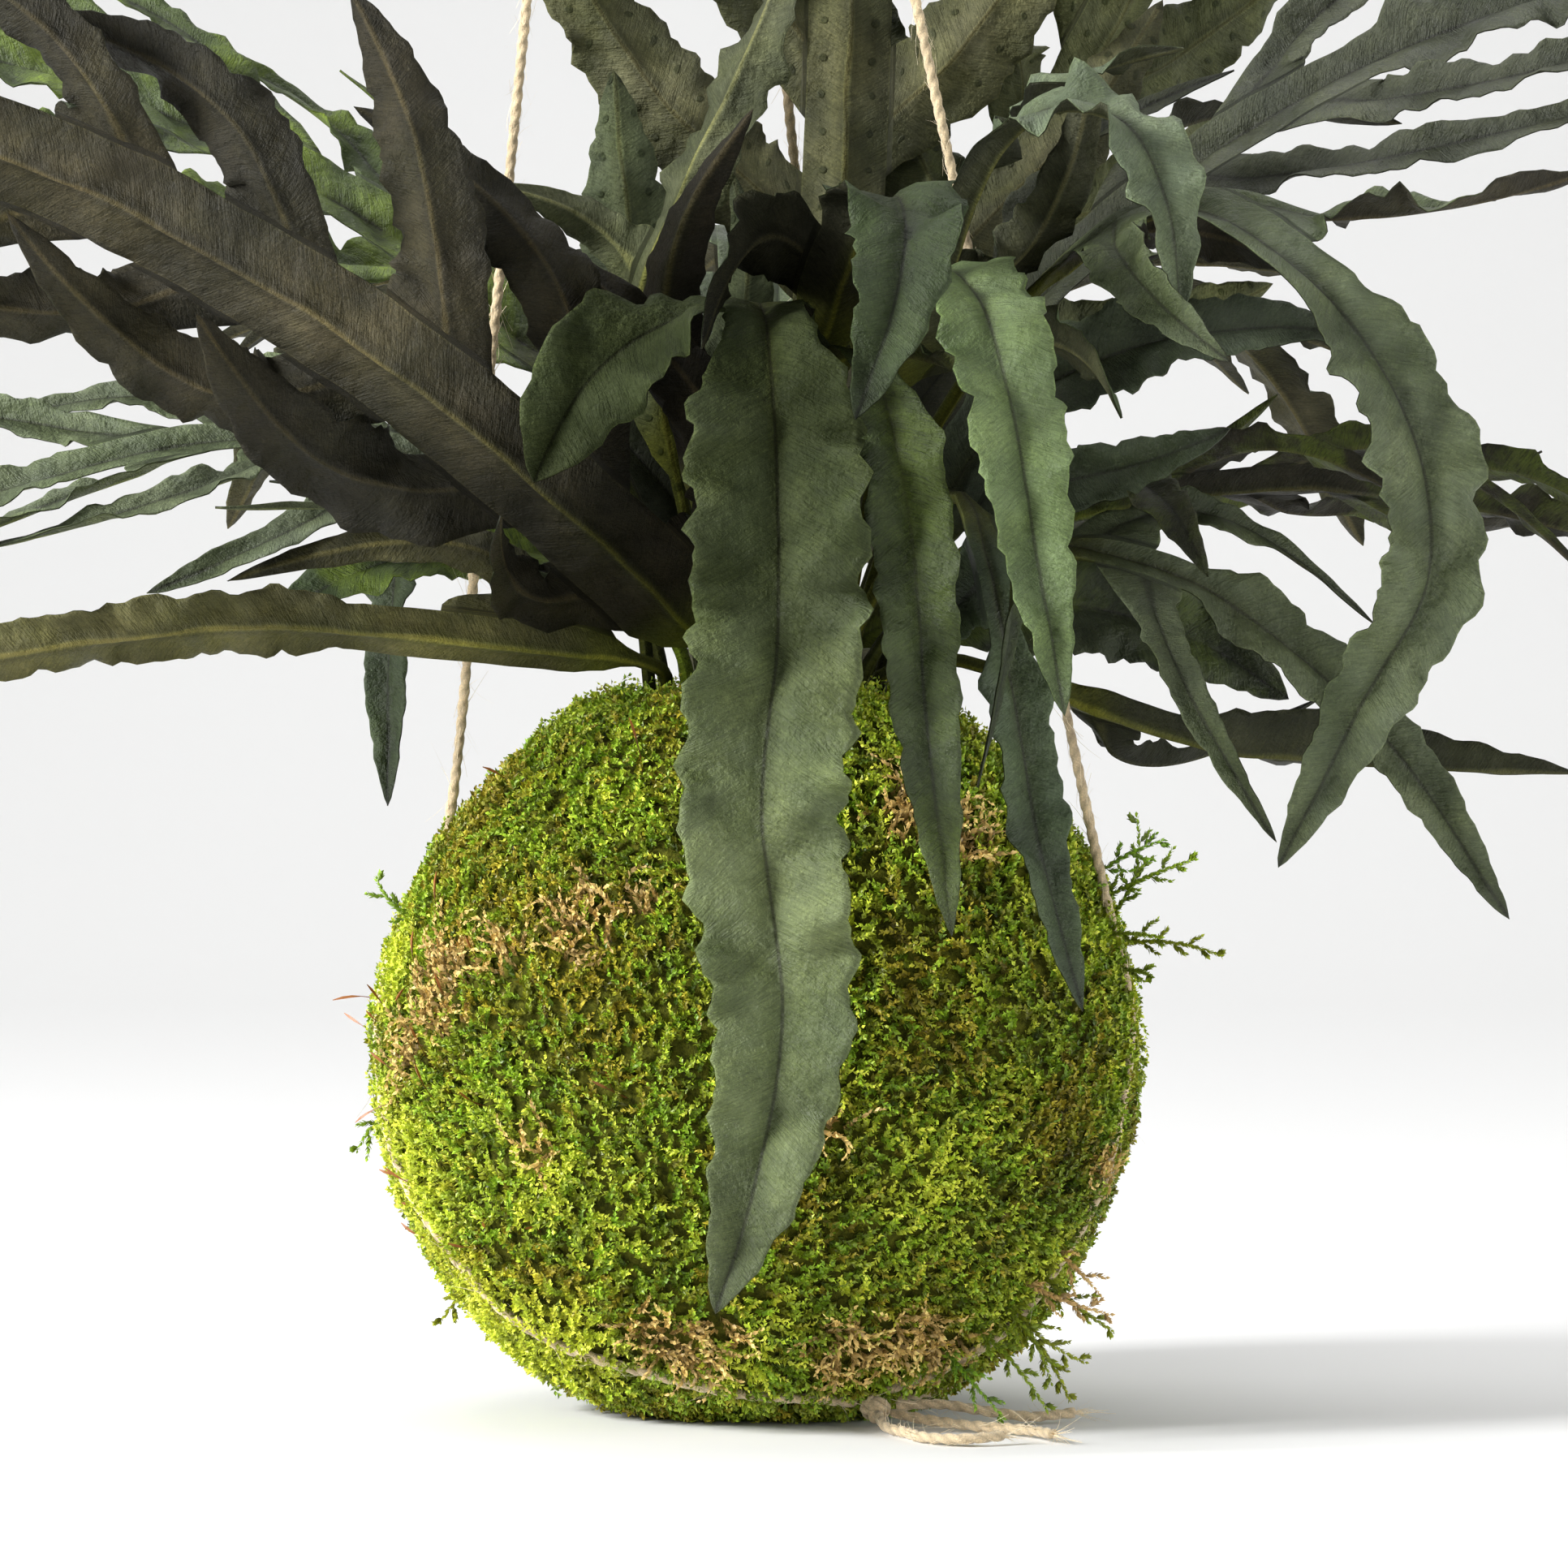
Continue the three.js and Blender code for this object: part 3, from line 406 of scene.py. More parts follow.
def noise(tree, scale, detail, roughness=0.55, vector=None):
    """A noise on Object coordinates in metres, or on another vector."""
    made = tree.nodes.new("ShaderNodeTexNoise")
    if vector is None:
        vector = Signal(tree, tree.nodes.new("ShaderNodeTexCoord").outputs["Object"])
    for slot, value in (("Vector", vector), ("Scale", scale), ("Detail", detail), ("Roughness", roughness)):
        join(tree, value, made.inputs[slot])
    return Signal(tree, made.outputs[0])


def ramp(tree, source, low, high):
    """A number stretched so that low becomes 0 and high becomes 1, and held between them."""
    made = tree.nodes.new("ShaderNodeMapRange")
    for slot, value in (("Value", source), ("From Min", low), ("From Max", high)):
        join(tree, value, made.inputs[slot])
    return Signal(tree, made.outputs[0])


def bump(tree, shader, height, distance, strength=1.0):
    """Bends the shader's normal by a height, where a height of 1 is the distance in metres."""
    made = tree.nodes.new("ShaderNodeBump")
    for slot, value in (("Height", height), ("Distance", distance), ("Strength", strength)):
        join(tree, value, made.inputs[slot])
    tree.links.new(made.outputs[0], shader.inputs["Normal"])


# %% [markdown]
# ## The fern
# The fern is of the blue-star kind. Each frond has a bare stem and a main rib with a narrow wing
# on each side. Long strap lobes grow from the wing, with waved margins, one sunken midrib and
# fine slanting veins. Some lobes hang, some stand, and some show their brown undersides.
#
# A leaf could be a flat card with a picture on it. Here each frond is one surface instead, worked
# out from a short table: the rib's path, and the length or the tip of each lobe. The packed
# solids were made from the same table with few points, and each lobe there took a small turn
# to stay clear of its neighbours. The solid tells which turn it took, and this surface follows.

# %% The table of fronds
# path: where the rib runs, from its foot in the soil to the leaf's tip, in millimetres.
# faces: the direction that the frond leans to, from +X round Z, in degrees. roll: how far its sides
# turn about the rib, at its foot and at its tip.
# blade: the shares of the path where the side lobes begin and where the end lobe begins.
# left, right: the side lobes, looking outwards along the frond. A number is a lobe's length, and
# a list is [x, y, z, width, twist] of its tip.
# wing, end, width: half the width of the winged rib, and the widths of the end and side lobes.
# angle: between a lobe and the rib, at the first pair and at the last, in degrees.
# lift, droop: how far a lobe rises out of the frond's plane, and how far its tip sinks.
# twist: the most that a lobe turns about its own line, in degrees. sharp: how late it narrows.
# wave: how far a lobe's margins rise and fall, in millimetres. fold: how far both stand up, as a
# share of half its width. reach: how far along a lobe it bends. ring: the length of half a wave.
# under: whether the frond shows its brown underside. seed: the draw for what isn't stated.
DEFAULTS = {
    "seed": 1, "under": False, "roll": [0, 0], "wing": 4.5, "width": 16, "end": 20,
    "angle": [62, 42], "droop": 0.35, "lift": 0.1, "twist": 35, "sharp": 3, "wave": 2,
    "fold": 0.1, "reach": 0.5, "ring": 13.5, "left": [], "right": [],
}
FRONDS = [
    dict(name="front_centre", faces=-90, blade=[0.32, 0.39], wing=8, end=36, width=24, wave=3, sharp=5,
         path=[[0, -9], [-2, -22, 190], [0, -50, 226], [2, -80, 222], [4, -94, 190], [4, -97, 160],
         [1, -97, 126], [5, -96, 87], [0, -96, 55], [-8, -97, 29]], left=[[15, -62, 196, 12, -30]],
         right=[[-44, -80, 191, 28, -75]]),
    dict(name="centre_fold", faces=-88, blade=[0.48, 0.6], wing=8, end=27, width=18, wave=3, seed=22,
         sharp=2.4,
         path=[[3, -17], [8, -36, 196], [18, -58, 236], [27, -76, 249], [29, -92, 240], [26, -101, 222],
         [19, -103, 202]], right=[[-2, -90, 212, 20, 60]]),
    dict(name="front_b", faces=-88, blade=[0.4, 0.52], wing=4, end=18, width=14, seed=2,
         path=[[8, -15], [13, -28, 190], [17, -56, 218], [24, -82, 211], [30, -92, 182], [33, -93, 145],
         [38, -93, 102]], left=[[43, -90, 131, 14, 20]]),
    dict(name="front_c", faces=-80, blade=[0.36, 0.5], wing=11, end=23, width=16, seed=3,
         path=[[12, -8], [22, -18, 200], [35, -44, 236], [44, -72, 229], [50, -88, 206], [55, -92, 175],
         [60, -92, 145]], left=[[72, -76, 204, 15]]),
    dict(name="front_d", faces=-62, blade=[0.45, 0.6], wing=3.5, end=15, width=12, seed=4,
         path=[[16, -19], [28, -26, 178], [40, -52, 190], [46, -70, 176], [51, -77, 150], [56, -81, 120],
         [64, -82, 87]], left=[[78, -62, 160, 11]], right=[[30, -84, 150, 12]]),
    dict(name="left_big", under=True, faces=190, roll=[-70, -50], blade=[0.15, 0.8], wing=11, end=28,
         width=19, seed=5, angle=[60, 50],
         path=[[-8, -18], [-16, -44, 166], [-44, -66, 192], [-74, -72, 216], [-104, -74, 235],
         [-137, -76, 252], [-170, -80, 263], [-205, -84, 270]], left=[[-52, -52, 246, 17, 10],
         [-73, -60, 274, 19, 10], [-81, -66, 290, 20, 10], [-150, -60, 286, 18], [-188, -62, 300, 14]],
         right=[[-50, -90, 184, 15], [-109, -95, 223, 24, 20], [-146, -92, 243, 20], [-190, -96, 236, 18],
         [-212, -90, 246, 12]]),
    dict(name="left_low", under=True, faces=178, roll=[-60, -60], blade=[0.2, 0.46], wing=5.5, end=15,
         width=9, seed=6, sharp=4,
         path=[[-19, -13], [-24, -28, 157], [-58, -44, 161], [-98, -60, 164], [-130, -69, 161],
         [-166, -74, 155], [-190, -76, 152]], left=[[-108, -42, 173, 10]]),
    dict(name="left_mid", faces=184, roll=[30, 40], blade=[0.3, 0.72], wing=5, end=13, width=12, seed=7,
         sharp=4,
         path=[[-23, -4], [-30, -10, 182], [-70, -22, 200], [-110, -30, 203], [-150, -36, 194],
         [-196, -40, 180]], left=[[-112, -50, 184, 10], [-122, -56, 172, 10], [-160, -58, 178, 10],
         [-192, -58, 164, 9]], right=[[-104, -6, 219, 14], [-134, -8, 212, 15], [-158, -14, 207, 11],
         [-196, -24, 210, 10]]),
    dict(name="upper_left", faces=176, roll=[25, 35], blade=[0.34, 0.76], wing=10, end=26, width=15, seed=8,
         path=[[-15, 3], [-30, 14, 200], [-62, 18, 238], [-95, 16, 260], [-130, 12, 277], [-165, 6, 287],
         [-205, 0, 292]], left=[[-90, -14, 226, 12], [-146, -18, 250, 16], [-180, -20, 256, 16],
         [-212, -20, 268, 12]], right=[[-92, 46, 288, 11], [-128, 42, 294, 12], [-165, 44, 308, 13],
         [-198, 36, 318, 12]]),
    dict(name="left_hang", faces=165, roll=[0, 90], blade=[0.42, 0.55], wing=4, end=15, width=11, seed=9,
         path=[[-20, 10], [-30, 18, 182], [-58, 26, 205], [-75, 28, 198], [-80, 26, 165], [-80, 24, 127]],
         left=[[-104, 8, 196, 10]], right=[[-78, 60, 190, 11]]),
    dict(name="upright_back", faces=-90, blade=[0.3, 0.84], wing=9, end=26, width=25, seed=10,
         angle=[52, 40], droop=-0.02, twist=15, lift=0.0, wave=1.6,
         path=[[2, 7], [8, 14, 190], [16, 24, 235], [19, 30, 280], [20, 34, 330], [19, 32, 380],
         [14, 24, 432]], left=[92, 88, 70, 48], right=[104, 92, 74, 52]),
    dict(name="right_up", faces=-50, blade=[0.36, 0.76], wing=8, end=24, width=22, seed=11, angle=[52, 40],
         droop=0.05, twist=20, lift=0.0,
         path=[[10, 7], [30, 20, 200], [54, 36, 248], [70, 50, 285], [90, 58, 325], [110, 60, 366]],
         left=[84, 80, 60], right=[78, 74, 56]),
    dict(name="centre_pale", faces=-90, blade=[0.45, 0.6], wing=6, end=24, width=14, seed=23, wave=1.2,
         sharp=2.2,
         path=[[-9, 6], [-16, 8, 190], [-24, 11, 226], [-28, 13, 252], [-31, 15, 284]],
         left=[[-6, 8, 262, 15, 10]]),
    dict(name="centre_twist", faces=-120, roll=[0, 25], blade=[0.42, 0.56], wing=5, end=20, width=14,
         seed=12,
         path=[[-6, 0], [-10, -4, 190], [-24, -10, 230], [-14, -12, 256], [-5, -12, 275], [4, -11, 296],
         [12, -8, 330]], left=[[-22, -34, 206, 12]], right=[[-58, -20, 256, 11, 60]]),
    dict(name="centre_spear", faces=-110, blade=[0.38, 0.5], wing=5, end=16, seed=24, wave=1, sharp=2,
         fold=0.5,
         path=[[-7, -8], [-12, -24, 196], [-19, -35, 226], [-14, -40, 248], [-1, -42, 269]]),
    dict(name="right_frill", faces=-35, roll=[0, -30], blade=[0.42, 0.66], wing=9, end=20, width=16,
         seed=25, wave=4, sharp=4,
         path=[[17, -9], [24, -12, 196], [37, -28, 236], [48, -44, 262], [60, -58, 269], [74, -67, 264],
         [82, -71, 247], [84, -71, 225]], left=[[66, -34, 282, 14, 30], [86, -52, 274, 16, 40]]),
    dict(name="right_arch", faces=-12, roll=[30, -85], blade=[0.34, 0.6], wing=8, end=25, width=17, seed=13,
         wave=3,
         path=[[18, -3], [36, -5, 205], [59, -13, 236], [76, -24, 249], [90, -38, 250], [106, -54, 239],
         [122, -62, 221], [133, -66, 196], [134, -66, 172], [121, -66, 148], [104, -64, 115]],
         left=[[126, -14, 240, 14, 60], [168, -44, 256, 18, 60]], right=[[92, -92, 214, 15, 40]]),
    dict(name="right_dark", faces=-6, roll=[-70, -60], blade=[0.28, 0.45], wing=8, end=23, width=15,
         seed=26, sharp=2.4,
         path=[[25.5, -3], [36, -1, 186], [52, -2, 210], [76, -8, 223], [104, -18, 227], [126, -24, 225]],
         right=[[96, -44, 204, 15]]),
    dict(name="upper_right", faces=4, roll=[-40, -40], blade=[0.36, 0.7], wing=7, end=22, width=10, seed=14,
         sharp=4,
         path=[[17, 6], [36, 8, 205], [64, 6, 240], [90, 4, 262], [125, 2, 283], [160, 0, 297],
         [205, -4, 308]], left=[[104, 26, 284, 9], [137, 28, 276, 13, 70], [190, 26, 322, 12]],
         right=[[120, -24, 280, 9], [205, -34, 280, 11], [216, -30, 296, 13]]),
    dict(name="right_mid", faces=6, roll=[20, 30], blade=[0.3, 0.74], wing=6, end=15, width=13, seed=15,
         path=[[24, 3], [42, 7, 180], [76, 10, 192], [115, 8, 196], [150, 6, 192], [196, 2, 180]],
         left=[[112, 30, 216, 13], [140, 40, 212, 13], [170, 36, 204, 13], [200, 30, 198, 11]],
         right=[[90, -48, 180, 14, 50], [140, -36, 186, 13], [172, -36, 172, 12], [200, -30, 160, 11]]),
    dict(name="right_low", faces=-12, roll=[-20, -70], blade=[0.36, 0.5], wing=4, end=17, width=9, seed=16,
         path=[[21, -14], [36, -20, 172], [64, -26, 180], [91, -30, 173], [112, -32, 158], [131, -33, 139],
         [154, -34, 104]], left=[[130, 6, 166, 11]], right=[[104, -60, 120, 9, 50]]),
    dict(name="right_flat", faces=0, roll=[50, 30], blade=[0.36, 0.5], wing=4, end=17, width=10, seed=17,
         fold=0.5,
         path=[[24, -9], [38, -8, 158], [64, -10, 150], [92, -12, 141], [130, -14, 137], [170, -16, 134]],
         left=[[120, 20, 150, 10]]),
    dict(name="back_left", faces=130, blade=[0.34, 0.78], wing=6, end=18, width=14, seed=18,
         path=[[-12, 14], [-24, 40, 205], [-48, 72, 240], [-78, 100, 246], [-106, 124, 228],
         [-126, 142, 192]], left=[56, 60, 52, 42], right=[58, 62, 54, 44]),
    dict(name="back_centre", faces=95, blade=[0.36, 0.78], wing=6, end=18, width=15, seed=19,
         path=[[-2, 18], [-2, 50, 215], [-4, 92, 256], [-4, 132, 256], [-2, 165, 228], [2, 184, 186]],
         left=[60, 62, 50], right=[62, 64, 52]),
    dict(name="back_right", faces=48, blade=[0.34, 0.78], wing=6, end=18, width=14, seed=20,
         path=[[10, 17], [28, 48, 205], [56, 80, 246], [94, 100, 246], [122, 124, 224], [142, 142, 188]],
         left=[58, 62, 50], right=[56, 60, 50]),
    dict(name="back_low", faces=100, blade=[0.4, 0.6], wing=5, end=18, width=14, seed=21,
         path=[[3, 24], [4, 48, 178], [6, 82, 188], [6, 104, 168], [4, 110, 130], [2, 108, 88]],
         left=[52, 44], right=[54, 46]),
    dict(name="inner_left", faces=180, roll=[30, 60], blade=[0.3, 0.42], wing=6, end=22, width=12, seed=27,
         path=[[-14.5, -4.5], [-17, -3, 161], [-24, 0.5, 172], [-38, 5, 179], [-58, 11, 183],
         [-82, 11, 179], [-106, 8, 166]]),
    dict(name="inner_centre", faces=0, roll=[-90, -90], blade=[0.42, 0.52], wing=8, end=27, width=14,
         seed=28, sharp=4, wave=1.2,
         path=[[6, 0], [8, 6, 170], [14, 12, 187], [25, 14, 203], [38, 16, 218], [48, 18, 233]]),
    dict(name="inner_right", faces=0, roll=[-90, -70], blade=[0.3, 0.42], wing=8, end=24, width=16, seed=29,
         sharp=4,
         path=[[4.5, 12.5], [12, 14, 157], [28, 14, 166], [46, 15, 170], [70, 19, 170], [96, 24, 162],
         [114, 25, 150]]),
    dict(name="inner_back", faces=180, roll=[90, 90], blade=[0.42, 0.54], wing=7, end=24, width=14, seed=30,
         sharp=4, wave=1.2,
         path=[[-4.5, 12.5], [-4, 19, 166], [-9, 23, 180], [-21, 24, 196], [-34, 23, 211]]),
]
SOIL_TOP = 147      # millimetres above the floor, like the next one
STEM_FOOT = 136
TURNS = [0, 7, -7, 14, -14, 22, -22, 31, -31, 42, -42]      # degrees that a solid's lobe may have turned
REACHES = [1, 0.85, 0.7, 0.5, 0.35]                         # and the shares it may be shortened to
LINE_STEPS = 24


# %% A path through points
class Path:
    """A smooth curve through points, with knots spaced by the square root of their distance.

    Each stretch is a cubic whose end directions come from its neighbours. at() takes shares of
    the whole length, so equal steps in share are equal steps along the curve.
    """

    def __init__(self, points):
        p = spline_ends(points)
        self.stretches = len(p) - 3
        cubics = []
        for a, b, c, d in zip(p, p[1:], p[2:], p[3:]):
            before, here, after = (max(np.sum((v - w) ** 2) ** 0.25, 1e-4)
                                   for v, w in ((a, b), (b, c), (c, d)))
            start = ((b - a) / before - (c - a) / (before + here) + (c - b) / here) * here
            end = ((c - b) / here - (d - b) / (here + after) + (d - c) / after) * here
            cubics.append((b, start, -3 * b + 3 * c - 2 * start - end, 2 * b - 2 * c + start + end))
        self.cubics = np.array(cubics)
        self.marks = np.linspace(0, 1, 201)
        steps = np.linalg.norm(np.diff(self.raw(self.marks), axis=0), axis=1)
        self.run = np.concatenate([[0], np.cumsum(steps)])
        self.length = self.run[-1]

    def raw(self, t):
        """The points at shares of the knots, before they are spaced by length."""
        t = np.clip(t, 0, 1) * self.stretches
        index = np.minimum(t.astype(int), self.stretches - 1)
        w = (t - index)[:, None]
        c = self.cubics[index]
        return c[:, 0] + c[:, 1] * w + c[:, 2] * w ** 2 + c[:, 3] * w ** 3

    def at(self, shares):
        """The points and the unit directions at shares of the length."""
        t = np.interp(np.asarray(shares, float) * self.length, self.run, self.marks)
        step = 1e-4
        ahead, behind = self.raw(np.minimum(t + step, 1)), self.raw(np.maximum(t - step, 0))
        return self.raw(t), unit(ahead - behind)


# %% The rib's frame and a lobe's line
def rib_frame(frond, shares):
    """Points on the rib with their forward, side and up directions, turned by the frond's roll."""
    shares = np.asarray(shares, float)
    at, along = frond["curve"].at(shares)
    heading = math.radians(frond["faces"])
    side = np.array([math.sin(heading), -math.cos(heading), 0.0])
    side = unit(side - (along @ side)[:, None] * along)
    up = np.cross(side, along)
    roll = np.radians(frond["roll"][0] + (frond["roll"][1] - frond["roll"][0]) * shares)[:, None]
    return at, along, *spun(side, up, roll)


def stations(frond):
    """Shares of the rib where lobes meet it: three for each pair of lobes, and the last one."""
    pairs = max(len(frond["left"]), len(frond["right"]), 1)
    start, finish = frond["blade"]
    shares = [start + (finish - start) * (pair + part) / pairs
              for pair in range(pairs) for part in (0, 0.3, 0.7)]
    return np.array(shares + [finish])


def turned(vectors, axis, degrees):
    """Vectors turned about an axis: v cos + (axis x v) sin + axis (axis . v)(1 - cos)."""
    angle = math.radians(degrees)
    return (vectors * math.cos(angle) + np.cross(axis, vectors) * math.sin(angle)
            + np.outer(vectors @ axis, axis) * (1 - math.cos(angle)))


def lobe_line(frond, sign, index):
    """A lobe's line before any turn: a curve that leaves the rib at an angle and bends to its tip.

    The cross direction starts along the rib, comes square to the line within a lobe's width and
    is carried along it, with a twist that grows towards the tip.
    """
    spec = (frond["right"] if sign > 0 else frond["left"])[index]
    key = 20 * index + (0 if sign > 0 else 10)
    draw = [2 * rand(frond["seed"], key + k) - 1 for k in range(4)]
    pairs = max(len(frond["left"]), len(frond["right"]), 1)
    share = index / max(pairs - 1, 1)
    first, last = frond["angle"]
    angle = math.radians(first + (last - first) * share + 5 * draw[0])
    station = stations(frond)[3 * index + (2 if sign > 0 else 1)]
    at, along, side, up = (value[0] for value in rib_frame(frond, [station]))
    root = at + sign * frond["wing"] * side

    def heading(turn, lift):
        """The direction that leaves the rib at an angle, and rises out of the frond's plane."""
        return unit(math.cos(turn) * along + sign * math.sin(turn) * side + lift * up)

    width, twist = frond["width"], frond["twist"] * draw[3]
    if isinstance(spec, (int, float)):
        out = heading(angle - 0.25, frond["lift"] + 0.2 * draw[1])
        out[2] -= frond["droop"] * (1 + 0.5 * draw[2])
        tip = root + spec * out
    else:
        tip = np.array(spec[:3], float)
        width = spec[3] if len(spec) > 3 else width
        twist = spec[4] if len(spec) > 4 else twist
    length = np.linalg.norm(tip - root)
    bend = root + heading(angle, frond["lift"]) * length * frond["reach"]
    u = np.linspace(0, 1, LINE_STEPS + 1)[:, None]
    line, ahead = bow(root, bend, tip, u[:, 0])
    flat = unit(along + (carried(along, ahead) - along) * smooth(u * length / width))
    across, up = spun(flat, unit(sign * np.cross(ahead, flat)), np.radians(twist) * u)
    return {"root": root, "axis": along, "line": line, "width": width, "length": length,
            "across": across, "up": up}


FOUND = 1.2     # how near a solid's corner a tip has to be, in millimetres


def settle(lobe, corners, ring):
    """Turns and shortens a lobe as its solid did: the turn whose tip lies on the solid's corners."""
    best = (FOUND, None)
    for reach in REACHES:
        for turn in TURNS:
            tip = turned((lobe["line"][-1:] - lobe["root"]) * reach, lobe["axis"], turn)[0]
            distance = np.min(np.linalg.norm(corners - (lobe["root"] + tip), axis=1))
            if distance < best[0]:
                best = (distance, (turn, reach))
    if best[1] is None:
        return None
    turn, reach = best[1]
    lobe["line"] = lobe["root"] + turned((lobe["line"] - lobe["root"]) * reach, lobe["axis"], turn)
    for key in ("across", "up"):
        lobe[key] = turned(lobe[key], lobe["axis"], turn)
    lobe["length"] *= reach
    lobe["rings"] = max(4, round(lobe["length"] * 1.08 / ring))
    return lobe


# %% [markdown]
# ### One frond as one surface
# The frond's middle surface is a long grid for the stem, the wing and the end lobe, and a grid
# for each side lobe whose first row is the wing's own edge, so that nothing has to be joined
# afterwards. The margin rises and falls along the lobe, and most at the very edge. The surface
# then gets its thickness: the rib stands out below, and the upper face has a groove over it.

# %% Frond grids
COLUMNS = np.array([-1, -0.86, -0.64, -0.38, -0.12, 0, 0.12, 0.38, 0.64, 0.86, 1])
WIDE = len(COLUMNS)
BETWEEN = (WIDE - 1) // 2   # rows between two stations, so that a lobe's base has a row for each column
ROW_STEP = 1.7              # between the rows of a leaf, in millimetres
STEM_HALF = 1.4             # half a stem's width
STEM_ROWS = 13


def strap(share, sharp):
    """Half a lobe's width along it, as a share of its widest: nearly straight, then a sharp tip."""
    share = np.clip(share, 0, 1)
    return (1 - 0.15 * share) * (1 - share ** sharp) ** 0.75


def margin(frond, rings, share, half, key):
    """How far the margin rises along a lobe: one wave for every two rings, with smaller ones on it.

    A narrow lobe waves less than a broad one.
    """
    phase = 6.28 * rand(frond["seed"], key)
    turns = math.pi * rings * share
    ripple = 0.5 * np.sin(2.7 * turns + phase) + 0.2 * np.sin(4.3 * turns + 2.3 * phase)
    swell = (0.9 + 0.4 * np.sin(0.8 * turns + 2 * phase)) * np.minimum(1, half / 8.5)
    return frond["wave"] * swell * (np.cos(turns) + ripple) * smooth(share / 0.2) * (1 - share ** 4)


def scallop(frond, rings, share, key):
    """The margin's small steps in and out along a lobe, with a short notch here and there."""
    phase = 6.28 * rand(frond["seed"], key + 0.5)
    turns = math.pi * rings * share
    notch = np.maximum(np.sin(1.7 * turns + 3 * phase), 0) ** 8
    return 1 + 0.06 * np.sin(2.3 * turns + phase) + 0.035 * np.sin(5.1 * turns) - 0.1 * notch


# each set of folds: its wavelength along the blade in millimetres, its slant outwards, its height
FOLDS = [(41.0, 0.3, 1.5), (23.0, 0.6, 1.1), (12.6, 0.9, 0.55), (7.7, -0.4, 0.26)]
FOLD_HEIGHT = 0.18                  # of half the blade's width, for a height of 1
GROOVE_DEPTH, GROOVE_HALF = 1.5, 2.4    # over the midrib, in millimetres


def puckers(frond, along, half, key):
    """Soft folds that slant from the midrib out to the margin, and the groove over the midrib.

    Height = a sum of waves of (distance along + slant x distance out), fading at the rib. Each wave
    is part sine and part crease: 1 - 2 |sin(half the angle)| has a sharp crest.
    Returns the heights, and how high each point lies in its folds, from about -1 to 1.
    """
    v = COLUMNS[None, :]
    out = np.abs(v) * half[:, None]
    folds = 0
    for place, (length, slant, height) in enumerate(FOLDS):
        phase = 6.28 * rand(frond["seed"], key + 0.1 * place) + 2.1 * (v > 0)
        angle = 2 * math.pi * (along[:, None] + slant * out) / length + phase
        folds = folds + height * (0.6 * np.sin(angle) + 0.4 * (1 - 2 * np.abs(np.sin(0.5 * angle))))
    fading = np.abs(v) ** 0.7 * (1.2 - np.abs(v))
    groove = GROOVE_DEPTH * np.minimum(1, half[:, None] / 8) * np.exp(-(out / GROOVE_HALF) ** 2)
    return FOLD_HEIGHT * half[:, None] * folds * fading - groove, 1.2 * folds * fading


def grid_facts(along, half, tip, crest, main):
    """What the colours need of each point of a grid, from what is known of each row."""
    return {"along": np.repeat(along, WIDE), "across": np.tile(COLUMNS, len(along)),
            "half": np.repeat(half, WIDE), "tip": np.repeat(tip, WIDE), "crest": crest.ravel(),
            "stem": np.zeros(len(along) * WIDE), "main": np.full(len(along) * WIDE, main)}


def rib_grid(frond):
    """The stem, the wing and the end lobe as rows of points across the rib.

    Returns the points, what the colours need of each, and the number of rows in the stem.
    """
    start, finish = frond["blade"]
    curve = frond["curve"]
    stem = np.linspace(0, start, STEM_ROWS, endpoint=False)
    marks = stations(frond)
    blade = [np.linspace(a, b, BETWEEN, endpoint=False) for a, b in zip(marks, marks[1:])]
    rows = max(12, round(curve.length * (1 - finish) / ROW_STEP))
    end = finish + (1 - finish) * np.arange(rows + 1) / rows
    shares = np.concatenate([stem, *blade, end])
    at, _, side, up = rib_frame(frond, shares)
    beyond = np.clip((shares - finish) / (1 - finish), 0, 1)
    rings = max(5, round(curve.length * (1 - finish) / frond["ring"]))
    lobe = frond["end"] / 2 * strap(beyond, frond["sharp"])
    half = frond["wing"] + (lobe - frond["wing"]) * smooth(beyond / 0.15)
    opening = smooth((shares - start) * curve.length / 9)
    half = STEM_HALF + (half - STEM_HALF) * np.where(shares < start, 0, 0.6 + 0.4 * opening)
    blend = smooth((shares - start) * curve.length / 6 + 1)
    half = np.where(shares < start, STEM_HALF + (0.6 * frond["wing"] - STEM_HALF) * blend, half)
    on_lobe = beyond > 0
    left = np.where(on_lobe, scallop(frond, rings, beyond, 71), 1)
    right = np.where(on_lobe, scallop(frond, rings, beyond, 72), 1)
    v = COLUMNS[None, :]
    width = half[:, None] * np.where(v < 0, left[:, None], right[:, None])
    rise = frond["fold"] * half[:, None] * np.abs(v) * blend[:, None]
    waves = margin(frond, rings, beyond, half, 73) * on_lobe
    rise = rise + np.sign(v) * np.abs(v) ** 2.2 * waves[:, None]
    folds, crest = puckers(frond, shares * curve.length, half, 74)
    rise = rise + folds * np.where(shares < start, 0, opening)[:, None]
    points = at[:, None] + side[:, None] * (v * width)[..., None] + up[:, None] * rise[..., None]
    leaf = grid_facts(shares * curve.length, half, beyond, crest, 1.0)
    leaf["stem"] = np.repeat(1 - smooth((shares - start) * curve.length / 14), WIDE)
    return points, leaf, len(stem)


